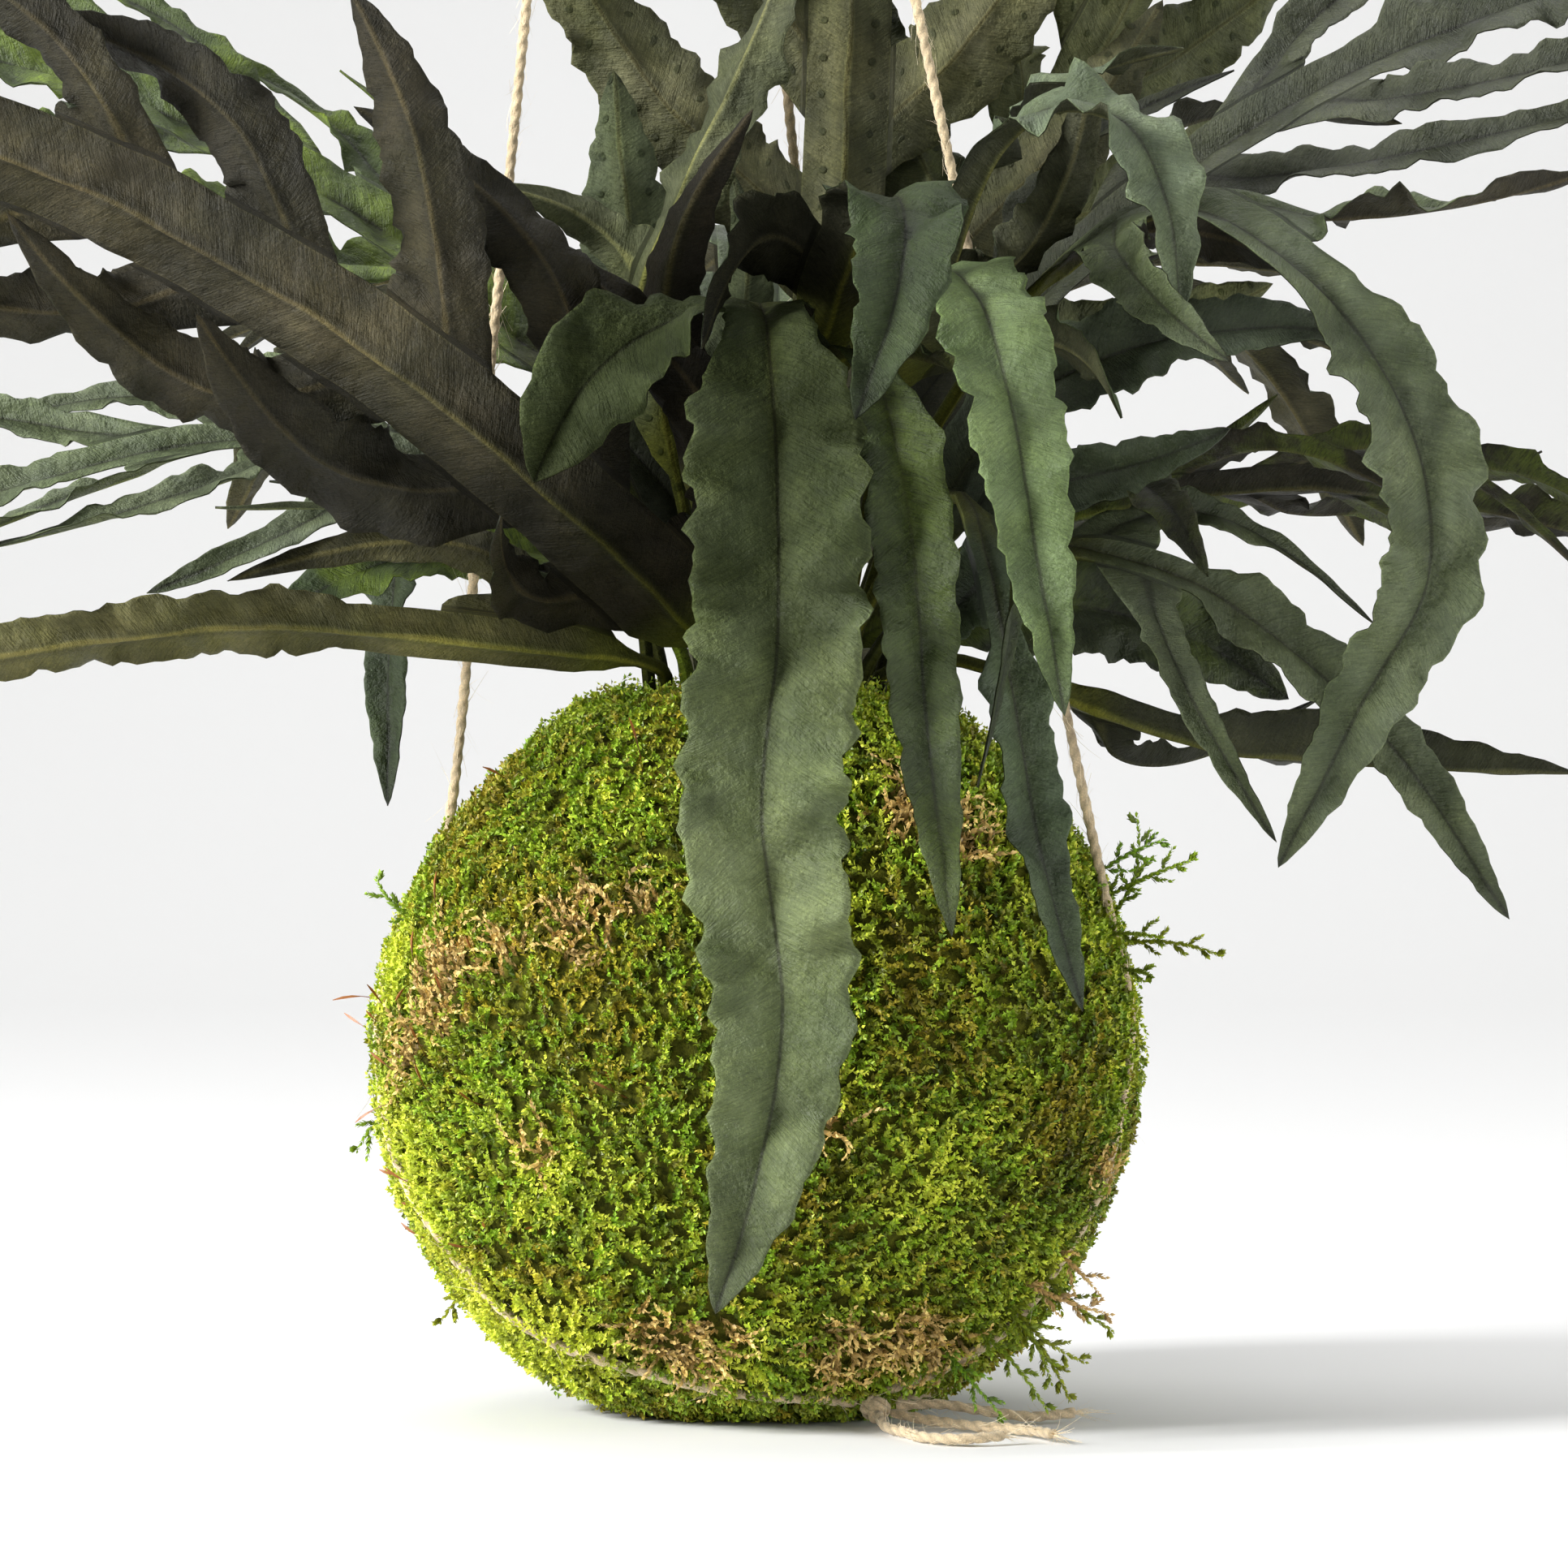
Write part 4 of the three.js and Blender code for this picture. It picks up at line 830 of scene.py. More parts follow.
def lobe_grid(frond, sign, index, base, lobe):
    """A side lobe as rows of points. Its first rows run from the wing's edge into the strap."""
    rows = max(8, round(lobe["length"] * 1.05 / ROW_STEP))
    share = np.arange(1, rows + 1) / rows
    marks = np.linspace(0, 1, LINE_STEPS + 1)

    def on_line(values):
        """Values of the lobe's line at the rows' shares."""
        return np.stack([np.interp(share, marks, values[:, k]) for k in range(3)], 1)

    line, across, up = (on_line(lobe[key]) for key in ("line", "across", "up"))
    across, up = unit(across), unit(up)
    rings, key = lobe["rings"], 80 + 20 * index + (0 if sign > 0 else 10)
    half = lobe["width"] / 2 * strap(share, frond["sharp"])
    v = COLUMNS[None, :]
    lower, upper = scallop(frond, rings, share, key + 1), scallop(frond, rings, share, key + 2)
    width = half[:, None] * np.where(v < 0, lower[:, None], upper[:, None])
    rise = np.where(v < 0, margin(frond, rings, share, half, key + 3)[:, None],
                    margin(frond, rings, share, half, key + 4)[:, None])
    rise = frond["fold"] * half[:, None] * np.abs(v) + np.abs(v) ** 2.2 * rise
    along = share * lobe["length"]
    folds, crest = puckers(frond, along, half, key + 5)
    rise = rise + folds
    sway = 0.2 * np.sin(2 * math.pi * along / 47 + 6.28 * rand(frond["seed"], key + 9))[:, None]
    across, up = spun(across, up, sway)
    free = line[:, None] + across[:, None] * (v * width)[..., None] + up[:, None] * rise[..., None]
    moved = base[None] + (line - lobe["root"])[:, None]
    begun = smooth(share * rings)[:, None, None]
    points = moved + (free - moved) * begun
    return points, grid_facts(along, half, share, crest, 0.0)


def strip_faces(index, flip):
    """Quads between the rows of an index grid."""
    a, b, c, d = index[:-1, :-1], index[:-1, 1:], index[1:, 1:], index[1:, :-1]
    quads = np.stack([a, d, c, b] if flip else [a, b, c, d], -1)
    return quads.reshape(-1, 4)


def triangles(quads):
    """Each quad as two triangles."""
    return np.vstack([quads[:, :3], quads[:, [0, 2, 3]]])


# %% Thickness
def both_faces(points, faces, above, below):
    """A sheet pushed out along its normals to an upper and a lower face, with walls at its edges.

    The lower quads start at the same corner as the upper ones, so that both are split alike.
    """
    a, b, c, d = (points[faces[:, k]] for k in range(4))
    face_normals = np.cross(c - a, d - b)
    normals = np.zeros_like(points)
    for k in range(4):
        np.add.at(normals, faces[:, k], face_normals)
    normals = unit(normals)
    count = len(points)
    edges = np.stack([faces, np.roll(faces, -1, axis=1)], -1).reshape(-1, 2)
    keys = edges[:, 0].astype(np.int64) * count + edges[:, 1]
    back = edges[:, 1].astype(np.int64) * count + edges[:, 0]
    rim = edges[~np.isin(keys, back)]
    walls = np.stack([rim[:, 1], rim[:, 0], rim[:, 0] + count, rim[:, 1] + count], 1)
    solid = np.vstack([points + normals * above[:, None], points - normals * below[:, None]])
    return solid, np.vstack([faces, faces[:, [0, 3, 2, 1]] + count, walls])


# %% [markdown]
# ### Leaf colours
# The upper face is a dusty grey-green, and the underside goes from olive to dark brown. Each
# frond has its own pair of colours, each lobe is a little lighter or darker than the next, and
# the tips are duller. Towards the crown, where little daylight reaches, shade is painted in: the
# leaves' colour is darker there and their sheen weaker. These are stored on the points. The
# fibres, the mottling, the spore dots and the midrib are in the material, which knows how far
# along and across the lobe it is. So are painted light and shade: lighter crests and darker
# hollows in the folds, shade in the groove over the midrib and beside the rib below, a lighter
# band along the rib below with darker margins there, and daylight as if it came through some fronds.

# %% Leaf material
FIBRE_SLANT = 0.65      # millimetres along for each millimetre out
DOT_STEP = 8.0          # between spore dots, in millimetres
DAYLIGHT = linear(120, 142, 38)


def leaf_finish():
    """Colour from the points, with slanting fibres, a midrib line, mottling and a satin sheen.

    Each mask is 0 to 1, and each tint multiplies the colour by its own where its mask is 1, as far
    as its weight says: colour x (1 - weight x mask x (1 - tint)).
    """
    material, tree, shader = new_material("fern_leaf")
    along, across, half, draw, below, crest, sheen_out_of_shade, dotted, lit = (
        attribute(tree, name) for name in
        ("along", "across", "half", "draw", "below", "crest", "sheen_out_of_shade", "dotted", "lit"))
    above = 1.0 - below
    outward = maths(tree, "ABSOLUTE", across)
    out = outward * half        # millimetres from the midrib
    # fibres: a noise squeezed across them and stretched along them
    slant = along - out * FIBRE_SLANT
    lanes = tree.nodes.new("ShaderNodeCombineXYZ")
    for slot, source in zip(lanes.inputs, (slant * 2.5, out * 0.14, draw + across * 3.0)):
        join(tree, source, slot)
    fibres = noise(tree, 1.0, 3, 0.6, Signal(tree, lanes.outputs[0]))
    grain = noise(tree, 1700, 3, 0.7)
    dust = ramp(tree, noise(tree, 260, 5, 0.75), 0.4, 0.68)
    patches = ramp(tree, noise(tree, 90, 3, 0.6), 0.4, 0.62)
    cloud = ramp(tree, noise(tree, 38, 4, 0.6), 0.36, 0.66)
    broad = noise(tree, 24, 3, 0.6)
    # spore dots: a row along each half, a little out of line
    astray = (noise(tree, 60, 2) - 0.5) * 5.0
    step = maths(tree, "MODULO", along + astray, DOT_STEP) - DOT_STEP / 2
    aside = out + astray - half * 0.58
    distance = maths(tree, "SQRT", step * step + aside * aside)
    dots = ramp(tree, distance, 0.95, 0.6) * dotted
    rib = 1.0 - ramp(tree, out, 0.2, 0.55)
    # painted shade in the groove over the midrib, on the upper face
    groove_shade = 1.0 - ramp(tree, out, 0.2, 3.4)
    # painted shadow on the underside, just beside the rib
    rib_shadow = ramp(tree, out, 0.45, 0.8) * (1.0 - ramp(tree, out, 0.9, 3.0))

    def tinted(tone, rows):
        """The colour after a list of tints, each a mask, a weight and a colour."""
        for mask, weight, by in rows:
            tone = mix(tree, mask * weight, tone, by, "MULTIPLY")
        return tone

    tone = tinted(attribute(tree, "leaf_colour", "Color"), (
        (cloud, 0.8, (0.52, 0.58, 0.42)),
        (patches, 0.6, (1.3, 1.28, 1.05)),
        (ramp(tree, fibres, 0.45, 0.66), 0.3, (1.7, 1.65, 1.65)),
        (ramp(tree, fibres, 0.5, 0.32), 0.4, (0.5, 0.52, 0.45)),
        (dust, 0.45, (1.45, 1.42, 1.5)),
        (ramp(tree, grain, 0.5, 0.64) * patches, 0.6, (0.5, 0.52, 0.44)),
        (ramp(tree, outward, 0.55, 0.95) * dust, 0.4, (1.25, 1.27, 1.32)),
        (ramp(tree, grain, 0.42, 0.32), 0.5, (1.9, 1.85, 1.8)),
        (ramp(tree, distance, 1.4, 0.85) * dotted, 0.35, (0.6, 0.62, 0.5)),
        (dots, 0.8, (0.45, 0.5, 0.38)),
        # painted shade in the hollows of the folds, and painted highlight on their crests
        (ramp(tree, crest, 0.1, -1.3), 0.75, (0.42, 0.45, 0.36)),
        (ramp(tree, crest, 0.2, 1.5), 0.5, (1.4, 1.4, 1.42)),
        # on the underside: painted shade towards the margins, and painted light in a band along the midrib, where the
        # surface tilts to the light
        (ramp(tree, outward, 0.3, 1.0) * below, 0.6, (0.62, 0.62, 0.56)),
        (ramp(tree, out, 7.0, 2.0) * below, 0.5, (1.4, 1.36, 1.3)),
        (ramp(tree, broad, 0.52, 0.36) * below, 0.75, (0.5, 0.52, 0.5)),
        (ramp(tree, broad, 0.5, 0.66) * below, 0.7, (1.5, 1.5, 1.5)),
        # painted shade over the midrib, on the upper face
        (groove_shade * above, 0.75, (0.48, 0.5, 0.42)),
        # painted shadow beside the rib, on the underside
        (rib_shadow * below, 0.7, (0.5, 0.5, 0.46)),
        (rib * above, 0.85, (0.36, 0.34, 0.27)),
        (rib * below, 0.6, (2.1, 1.9, 1.5)),
        (rib * dotted, 0.85, (0.3, 0.3, 0.26))))
    # painted light: some fronds turn bright green in patches, as if daylight came through them
    through = ramp(tree, noise(tree, 48, 4, 0.6), 0.47, 0.62) * lit * ramp(tree, fibres, 0.25, 0.55)
    tone = mix(tree, through, tone, DAYLIGHT)
    tone = tinted(tone, [(ramp(tree, outward, 0.955, 0.985), 0.7, (1.5, 1.5, 1.35))])
    # relief in bumps: the last term slopes each half to the midrib, a groove above and a ridge below
    relief = (fibres * 1.6 + maths(tree, "SINE", slant * 1.15) * 0.25 + grain * 0.8
              + noise(tree, 170, 5, 0.62) * 8.0 + dots * 1.2 + out * (0.9 - below * 1.8))
    # the sheen is weakened where shade is painted at the crown
    for socket, source in (("Base Color", tone), ("Roughness", dust * 0.18 + 0.46 + below * 0.12),
                           ("Specular IOR Level", (0.44 - below * 0.2) * sheen_out_of_shade)):
        join(tree, source, shader.inputs[socket])
    bump(tree, shader, relief, 0.00035, 0.9)
    return material


LEAF = leaf_finish()
# each frond's upper face and underside, as screen colours: the plain frond's, and those that differ
PLAIN = (80, 92, 66, 66, 64, 46)
LOOKS = {
    "centre_fold": (68, 82, 50, 54, 54, 40), "centre_pale": (98, 108, 84, 80, 88, 66),
    "centre_spear": (52, 48, 40, 48, 44, 36), "right_frill": (96, 108, 84, 64, 66, 50),
    "right_dark": (66, 76, 56, 52, 54, 40), "front_centre": (95, 106, 68, 78, 76, 56),
    "front_b": (58, 70, 34, 60, 60, 42), "front_c": (98, 116, 72, 70, 72, 52),
    "front_d": (68, 82, 56, 60, 62, 44), "left_big": (60, 68, 46, 56, 52, 37),
    "left_low": (78, 84, 56, 78, 76, 46), "left_mid": (96, 106, 80, 84, 92, 66),
    "upper_left": (72, 88, 36, 62, 72, 40), "left_hang": (54, 66, 40, 48, 54, 34),
    "upright_back": (90, 94, 64, 86, 86, 62), "right_up": (80, 86, 60, 84, 88, 60),
    "centre_twist": (122, 130, 104, 84, 88, 66), "right_arch": (86, 96, 68, 52, 49, 38),
    "upper_right": (62, 66, 50, 54, 54, 42), "right_mid": (62, 64, 46, 48, 46, 36),
    "right_low": (86, 95, 68, 64, 64, 48), "right_flat": (52, 56, 38, 48, 50, 34),
    "inner_left": (62, 78, 40, 52, 58, 34), "inner_centre": (54, 56, 38, 48, 46, 32),
    "inner_right": (58, 66, 44, 48, 50, 34), "inner_back": (54, 60, 40, 48, 50, 34),
}
STEM_COLOUR = np.array(linear(84, 88, 34))
# Shade is painted on the leaves at the crown, where all of them start: nearer to it than the first
# distance they are at their darkest, and beyond the second they have their own colour. Millimetres.
CROWN = np.array([0.0, -8.0, 186.0])
PLAIN_CROWN_SHADE_REACH = (22, 90)
CROWN_SHADE_REACH = {"front_centre": (81, 112), "front_b": (60, 108), "left_big": (30, 120), "centre_spear": (22, 120),
         "right_arch": (50, 150), "right_frill": (22, 100), "centre_fold": (50, 160)}
# what is left of the colour and of the sheen in the painted shade at the crown
CROWN_SHADE_DARKEST, CROWN_SHADE_DULLEST = 0.24, 0.12       # what is left there of the colour and of the sheen
# painted light: how strongly daylight is painted as coming through each frond
LIT = {"upper_left": 0.85, "inner_left": 0.6, "front_b": 0.15, "right_mid": 0.35,
       "inner_right": 0.3}          # how much daylight seems to come through
DOTTED = ("upright_back", "right_up", "centre_pale")    # fronds whose spore dots show through


# %% Make the fronds
BLADE_HALF = 0.26           # half a blade's thickness, in millimetres, like the next three
RIB_DEPTH = 1.1             # how far the midrib stands out below
RIB_HALF = 0.9
STEM_ABOVE, STEM_BELOW = 1.0, 1.15
SHADES = (0.88, 0.26)       # the darkest lobe's shade, and how much lighter the lightest is
UNDER_SHADE = 0.68          # of the lobes of a frond that shows its underside


def leaf_points(frond):
    """All grids of a frond as one list of points, with what the colours need.

    Also returns the faces, and the number of lobes that found no place.
    """
    vertices = frame["nodes"]["frond_" + frond["name"]].data.vertices
    corners = np.empty(len(vertices) * 3, np.float32)
    vertices.foreach_get("co", corners)
    corners = corners.reshape(-1, 3) / MM
    points, leaf, stem_rows = rib_grid(frond)
    index = np.arange(points.shape[0] * WIDE).reshape(-1, WIDE)
    blocks, looks, faces = [points.reshape(-1, 3)], [leaf], [strip_faces(index, False)]
    leaf["shade"] = np.ones(index.size)
    count, missing = index.size, 0
    for sign, side in ((1, frond["right"]), (-1, frond["left"])):
        for place in range(len(side)):
            lobe = settle(lobe_line(frond, sign, place), corners, frond["ring"])
            if lobe is None:
                missing += 1
                continue
            first = stem_rows + BETWEEN * (3 * place + (1 if sign > 0 else 0))
            rows, column = first + np.arange(WIDE), WIDE - 1 if sign > 0 else 0
            block, leaf = lobe_grid(frond, sign, place, points[rows, column], lobe)
            new = count + np.arange(block.shape[0] * WIDE).reshape(-1, WIDE)
            faces.append(strip_faces(np.vstack([index[rows, column], new]), sign > 0))
            shade = SHADES[0] + SHADES[1] * rand(frond["seed"], 7 * place + sign)
            leaf["shade"] = np.full(new.size, shade * (UNDER_SHADE if frond["under"] else 1))
            blocks.append(block.reshape(-1, 3))
            looks.append(leaf)
            count += new.size
    merged = {key: np.concatenate([look[key] for look in looks]) for key in leaf}
    merged["draw"] = 60 * merged["shade"]
    return np.vstack(blocks), np.vstack(faces), merged, missing


def make_frond(frond):
    """A frond's surface with its thickness, its rib and its colours, in place of its solid."""
    points, faces, leaf, missing = leaf_points(frond)
    out = np.abs(leaf["across"]) * leaf["half"]
    fade = (1 - leaf["tip"]) ** 0.7
    reach = np.where(leaf["main"] > 0, 1.0, 0.55)
    ridge = np.exp(-(out / (RIB_HALF * reach)) ** 2) * fade * reach * (1 - leaf["stem"])
    blade = BLADE_HALF * (1 - 0.45 * np.abs(leaf["across"]) ** 4)
    stem = leaf["stem"] * np.sqrt(np.maximum(1 - leaf["across"] ** 2 * 0.9, 0.1))
    solid, quads = both_faces(points, faces, blade - 0.2 * ridge + STEM_ABOVE * stem,
                              blade + RIB_DEPTH * ridge + STEM_BELOW * stem)
    piece = new_piece("leaf_" + frond["name"], solid, quads, [LEAF])
    # painted shade: towards the crown the colour and the sheen fade, as if in the shade of the leaves around it
    near_crown, away = CROWN_SHADE_REACH.get(frond["name"], PLAIN_CROWN_SHADE_REACH)
    crown_unshaded = smooth((np.linalg.norm(points - CROWN, axis=1) - near_crown) / (away - near_crown))
    beyond = np.maximum(leaf["along"] - frond["blade"][0] * frond["curve"].length, 0)
    young = np.exp(-(beyond / 60) ** 2)
    green = leaf["stem"] + 0.6 * leaf["main"] * np.exp(-(out / 0.9) ** 2) * fade * young
    green = np.clip(green, 0, 1)[:, None]
    stem_tone = STEM_COLOUR * (0.4 + 0.6 * crown_unshaded)[:, None]
    shade = leaf["shade"] * (1 - 0.25 * smooth((leaf["tip"] - 0.8) / 0.2)) * (CROWN_SHADE_DARKEST + (1 - CROWN_SHADE_DARKEST) * crown_unshaded)
    look = LOOKS.get(frond["name"], PLAIN)
    tones = [np.array(linear(*colour)) * shade[:, None] for colour in (look[:3], look[3:])]
    paint(piece, "leaf_colour", np.vstack([tone + (stem_tone - tone) * green for tone in tones]))
    for name in ("along", "across", "half", "draw"):
        paint(piece, name, np.tile(leaf[name], 2))
    paint(piece, "below", np.repeat([0.0, 1.0], len(points)))
    paint(piece, "crest", np.concatenate([leaf["crest"], -leaf["crest"]]))
    paint(piece, "sheen_out_of_shade", np.tile(CROWN_SHADE_DULLEST + (1 - CROWN_SHADE_DULLEST) * crown_unshaded, 2))
    paint(piece, "lit", np.full(2 * len(points), LIT.get(frond["name"], 0.0)))
    paint(piece, "dotted", np.full(2 * len(points), float(frond["name"] in DOTTED)))
    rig.ride(piece, "root")
    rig.replaces(piece, "frond_" + frond["name"])
    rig.slot(piece, "leaf_under" if frond["under"] else "leaf")
    return piece, missing


total = 0
for entry in FRONDS:
    for key, value in DEFAULTS.items():
        entry.setdefault(key, value)
    x, y = entry["path"][0]
    foot = [[x, y, STEM_FOOT], [x, y, SOIL_TOP + 1], [x, y, SOIL_TOP + 6]]
    entry["curve"] = Path(foot + entry["path"][1:])
    made, missing = make_frond(entry)
    total += len(made.data.polygons)
    if missing:
        print(entry["name"], "has", missing, "lobe that found no place")
print(len(FRONDS), "fronds,", total, "quads")


# %% [markdown]
# ## The moss
# Moss is a mat of leafy shoots, each a millimetre wide and a few millimetres long. They lean the
# way their patch leans, dark at the foot and yellow-green at the tip, with a few dry brown tufts.
# Particles and hair are lost when the model is exported, so the shoots are real triangles: each
# has a curved stem with a spiral of small keeled leaves. A lumpy surface under them closes the ball.

# %% The moss surface
CENTRE = np.array([0.0, 0.0, 75.0])     # of the ball, in millimetres, like the next three
MOSS_RADIUS = 78.0
MOUTH_RADIUS = 31.0
TUFT_HEIGHT = 0.7
RIM = math.acos(MOUTH_RADIUS / MOSS_RADIUS)     # the mouth's elevation, in radians


def moss_radius(direction):
    """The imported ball's own surface: a sphere with broad lumps made of products of sines."""
    x, y, z = direction[..., 0], direction[..., 1], direction[..., 2]
    lumps = (np.sin(5.1 * x + 2.3 * z + 0.4) * np.sin(4.3 * y - 1.7 * z + 1.1)
             + 0.6 * np.sin(9.7 * z + 3.1 * x) * np.sin(8.3 * x - 6.1 * y + 0.7))
    return MOSS_RADIUS + 1.1 * lumps


def tufts(direction):
    """Finer lumps, a few millimetres across, where the moss has grown in cushions."""
    x, y, z = direction[..., 0], direction[..., 1], direction[..., 2]
    return (np.sin(31 * x + 7 * y) * np.sin(29 * y - 11 * z) * np.sin(33 * z + 5 * x)
            + 0.5 * np.sin(57 * x - 23 * z) * np.sin(61 * y + 17 * x))


def directions(azimuth, elevation):
    """Unit vectors from the ball's centre, from angles in radians."""
    azimuth, elevation = np.broadcast_arrays(azimuth, elevation)
    return np.stack([np.cos(elevation) * np.cos(azimuth), np.cos(elevation) * np.sin(azimuth),
                     np.sin(elevation)], -1)


def moss_bed():
    """The lumpy surface under the shoots, from the foot to the rim, and down inside the rim."""
    around, rows = 160, 88
    azimuth = np.linspace(0, 2 * math.pi, around, endpoint=False)
    elevation = -math.pi / 2 + (RIM + math.pi / 2) * np.linspace(0.004, 1, rows)
    away = directions(azimuth[None], elevation[:, None])
    lift = TUFT_HEIGHT * tufts(away) * smooth((RIM - elevation) / 0.1)[:, None]
    points = CENTRE + away * (moss_radius(away) + lift)[..., None]
    points[..., 2] = np.maximum(points[..., 2], 0.0)
    inside = points[-1] - np.array([[0, 0, 2.0], [0, 0, 4.0], [0, 0, 6.0]])[:, None]
    points = np.concatenate([points, inside])
    index = np.arange(points.shape[0] * around).reshape(-1, around)
    index = np.hstack([index, index[:, :1]])
    foot = len(points) * around
    closing = np.stack([index[0, 1:], index[0, :-1], np.full(around, foot)], 1)
    points = np.vstack([points.reshape(-1, 3), [[0, 0, 0]]])
    return points, np.vstack([triangles(strip_faces(index, False)), closing])


# %% Moss materials
def moss_bed_finish():
    """Dark matted moss between the shoots."""
    material, tree, shader = new_material("moss_bed", 0.95, Specular_IOR_Level=0.1)
    grain = ramp(tree, noise(tree, 420, 4, 0.7), 0.35, 0.65)
    tone = mix(tree, grain, linear(46, 50, 14), linear(98, 100, 30))
    join(tree, tone, shader.inputs["Base Color"])
    bump(tree, shader, noise(tree, 700, 4, 0.7), 0.0012)
    return material


def moss_finish():
    """A slight sheen on the shoots, which take their colour from their points."""
    material, tree, shader = new_material("moss_shoots", 0.46, Specular_IOR_Level=0.45)
    join(tree, attribute(tree, "moss_colour", "Color"), shader.inputs["Base Color"])
    return material


bed_points, bed_faces = moss_bed()
bed = new_piece("moss_bed", bed_points, bed_faces, [moss_bed_finish()])
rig.ride(bed, "root")
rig.replaces(bed, "moss_cover")
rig.slot(bed, "moss")
print("moss bed", len(bed_faces), "triangles")


# %% [markdown]
# ### Shoots
# A shoot of this moss is like a small catkin: a stem hidden by scale leaves that overlap, plump
# and a millimetre and a half wide. The shoots are set out evenly over the ball on a spiral whose
# steps turn by the golden angle, then shifted a little. A slow flow over the ball says which way
# each patch leans. In the hollows between cushions and on the lower right of the ball, shade is
# painted on the shoots as darker colour. In the dry patches, named by their place on the ball,
# the shoots are long, tan and curled.

# %% Shoot fields
GOLDEN = math.pi * (3 - math.sqrt(5))
# dry and bright patches on the ball: azimuth, elevation and radius, in degrees
DRY = [(216, 11, 8), (206, 2, 5), (242, 21, 6), (252, 24, 3), (229, 16, 4), (300, 38, 6), (308, 34, 5),
       (252, -45, 7), (262, -42, 4), (290, -46, 7), (301, -44, 6), (312, -47, 4), (336, -17, 4),
       (280, -8, 3), (236, -12, 3), (120, 10, 8), (60, -30, 7), (160, -20, 6)]
BRIGHT = [(283, 24, 6), (198, -18, 14), (205, -45, 14), (225, -46, 10), (192, 14, 8), (30, 20, 12),
          (100, -20, 12)]
LEAF_WIDTH = 0.5        # half a scale leaf's width in millimetres


def near(direction, patches, edge=0.5):
    """How far inside the nearest of some round patches each direction is, from 0 to 1."""
    inside = np.zeros(len(direction))
    for azimuth, elevation, radius in patches:
        middle = directions(math.radians(azimuth), math.radians(elevation))
        angle = np.degrees(np.arccos(np.clip(direction @ middle, -1, 1)))
        inside = np.maximum(inside, smooth((radius * (1 + edge) - angle) / (radius * 2 * edge)))
    return inside


def flow(direction):
    """The way that each patch of moss leans: a smooth field of sines, laid on the ball's surface."""
    x, y, z = direction.T
    field = np.stack([np.sin(4 * y + 2 * z) + 0.6 * np.sin(11 * z + 3 * x),
                      np.sin(5 * z - 3 * x) + 0.6 * np.sin(9 * x - 4 * y),
                      0.8 * np.sin(4 * x + 3 * y) + 0.6 * np.sin(10 * y + 5 * z) + 0.5], 1)
    return unit(field - np.sum(field * direction, 1)[:, None] * direction)


def spread_out(count, seed, rng):
    """Directions set out evenly over the ball, and their feet on the moss, without the mouth."""
    k = np.arange(count) + 0.5
    height = 1 - 2 * k / count
    ring = np.sqrt(1 - height ** 2)
    away = np.stack([ring * np.cos(GOLDEN * k + seed), ring * np.sin(GOLDEN * k + seed), height], 1)
    away = unit(away + rng.normal(0, 0.014, away.shape))
    feet = CENTRE + away * (moss_radius(away) + TUFT_HEIGHT * tufts(away) - 0.4)[:, None]
    keep = (feet[:, 2] > 1.4) & (away[:, 2] < math.sin(RIM) - 0.004)
    return away[keep], feet[keep]


def stems(feet, away, lean, size, rise, curl, steps):
    """Stems that leave the ball, bend over towards their lean and curl sideways.

    Each step adds a unit direction: the lean turned by the curl so far, plus a rise that falls off.
    """
    u = (np.arange(steps) + 0.5) / steps
    turn = curl[:, None] * u
    aside = np.cross(away, lean)[:, None]
    flat = lean[:, None] * np.cos(turn)[..., None] + aside * np.sin(turn)[..., None]
    lift = away[:, None] * (rise[:, None] * (1.3 - 1.4 * u))[..., None]
    ahead = unit(flat * (0.5 + 0.6 * u)[:, None] + lift)
    return feet[:, None] + np.cumsum(ahead, 1) * (size / steps)[:, None, None], ahead


def scale_leaves(stem, ahead, above, tone, rng, length, opening):
    """Keeled leaves in a spiral on each stem, two triangles each. Returns points, faces, colours.

    The opening is the angle between a leaf and its stem, in radians.
    """
    count, steps = stem.shape[:2]
    aside = unit(np.cross(ahead, above))
    above = np.cross(aside, ahead)
    angle = GOLDEN * np.arange(steps) + 6.28 * rng.random((count, 1))
    radial = aside * np.cos(angle)[..., None] + above * np.sin(angle)[..., None]
    edge = np.cross(ahead, radial)
    along = (np.arange(steps) + 1) / steps
    grow = length * (0.8 + 0.4 * rng.random((count, steps, 1))) * (1.05 - 0.4 * along[:, None] ** 2)
    tip = stem + (ahead * math.cos(opening) + radial * math.sin(opening)) * grow
    middle = stem + (ahead * 0.42 + radial * 0.3 * math.sin(opening)) * grow
    half = edge * grow * LEAF_WIDTH / length
    points = np.stack([stem, middle + half, tip, middle - half], 2).reshape(-1, 3)
    points[:, 2] = np.maximum(points[:, 2], 0.15)
    first = 4 * np.arange(count * steps)
    faces = first[:, None] + np.array([[0, 1, 2], [0, 2, 3]])[:, None]
    shade = np.clip(0.48 + 0.62 * along + 0.14 * rng.normal(size=(count, steps)), 0.15, 1.35)
    ends = np.array([0.6, 0.95, 1.35, 0.95])
    colours = tone[:, None, None] * shade[..., None, None] * ends[:, None]
    return points, faces.reshape(-1, 3), np.clip(colours.reshape(-1, 3), 0, 1)


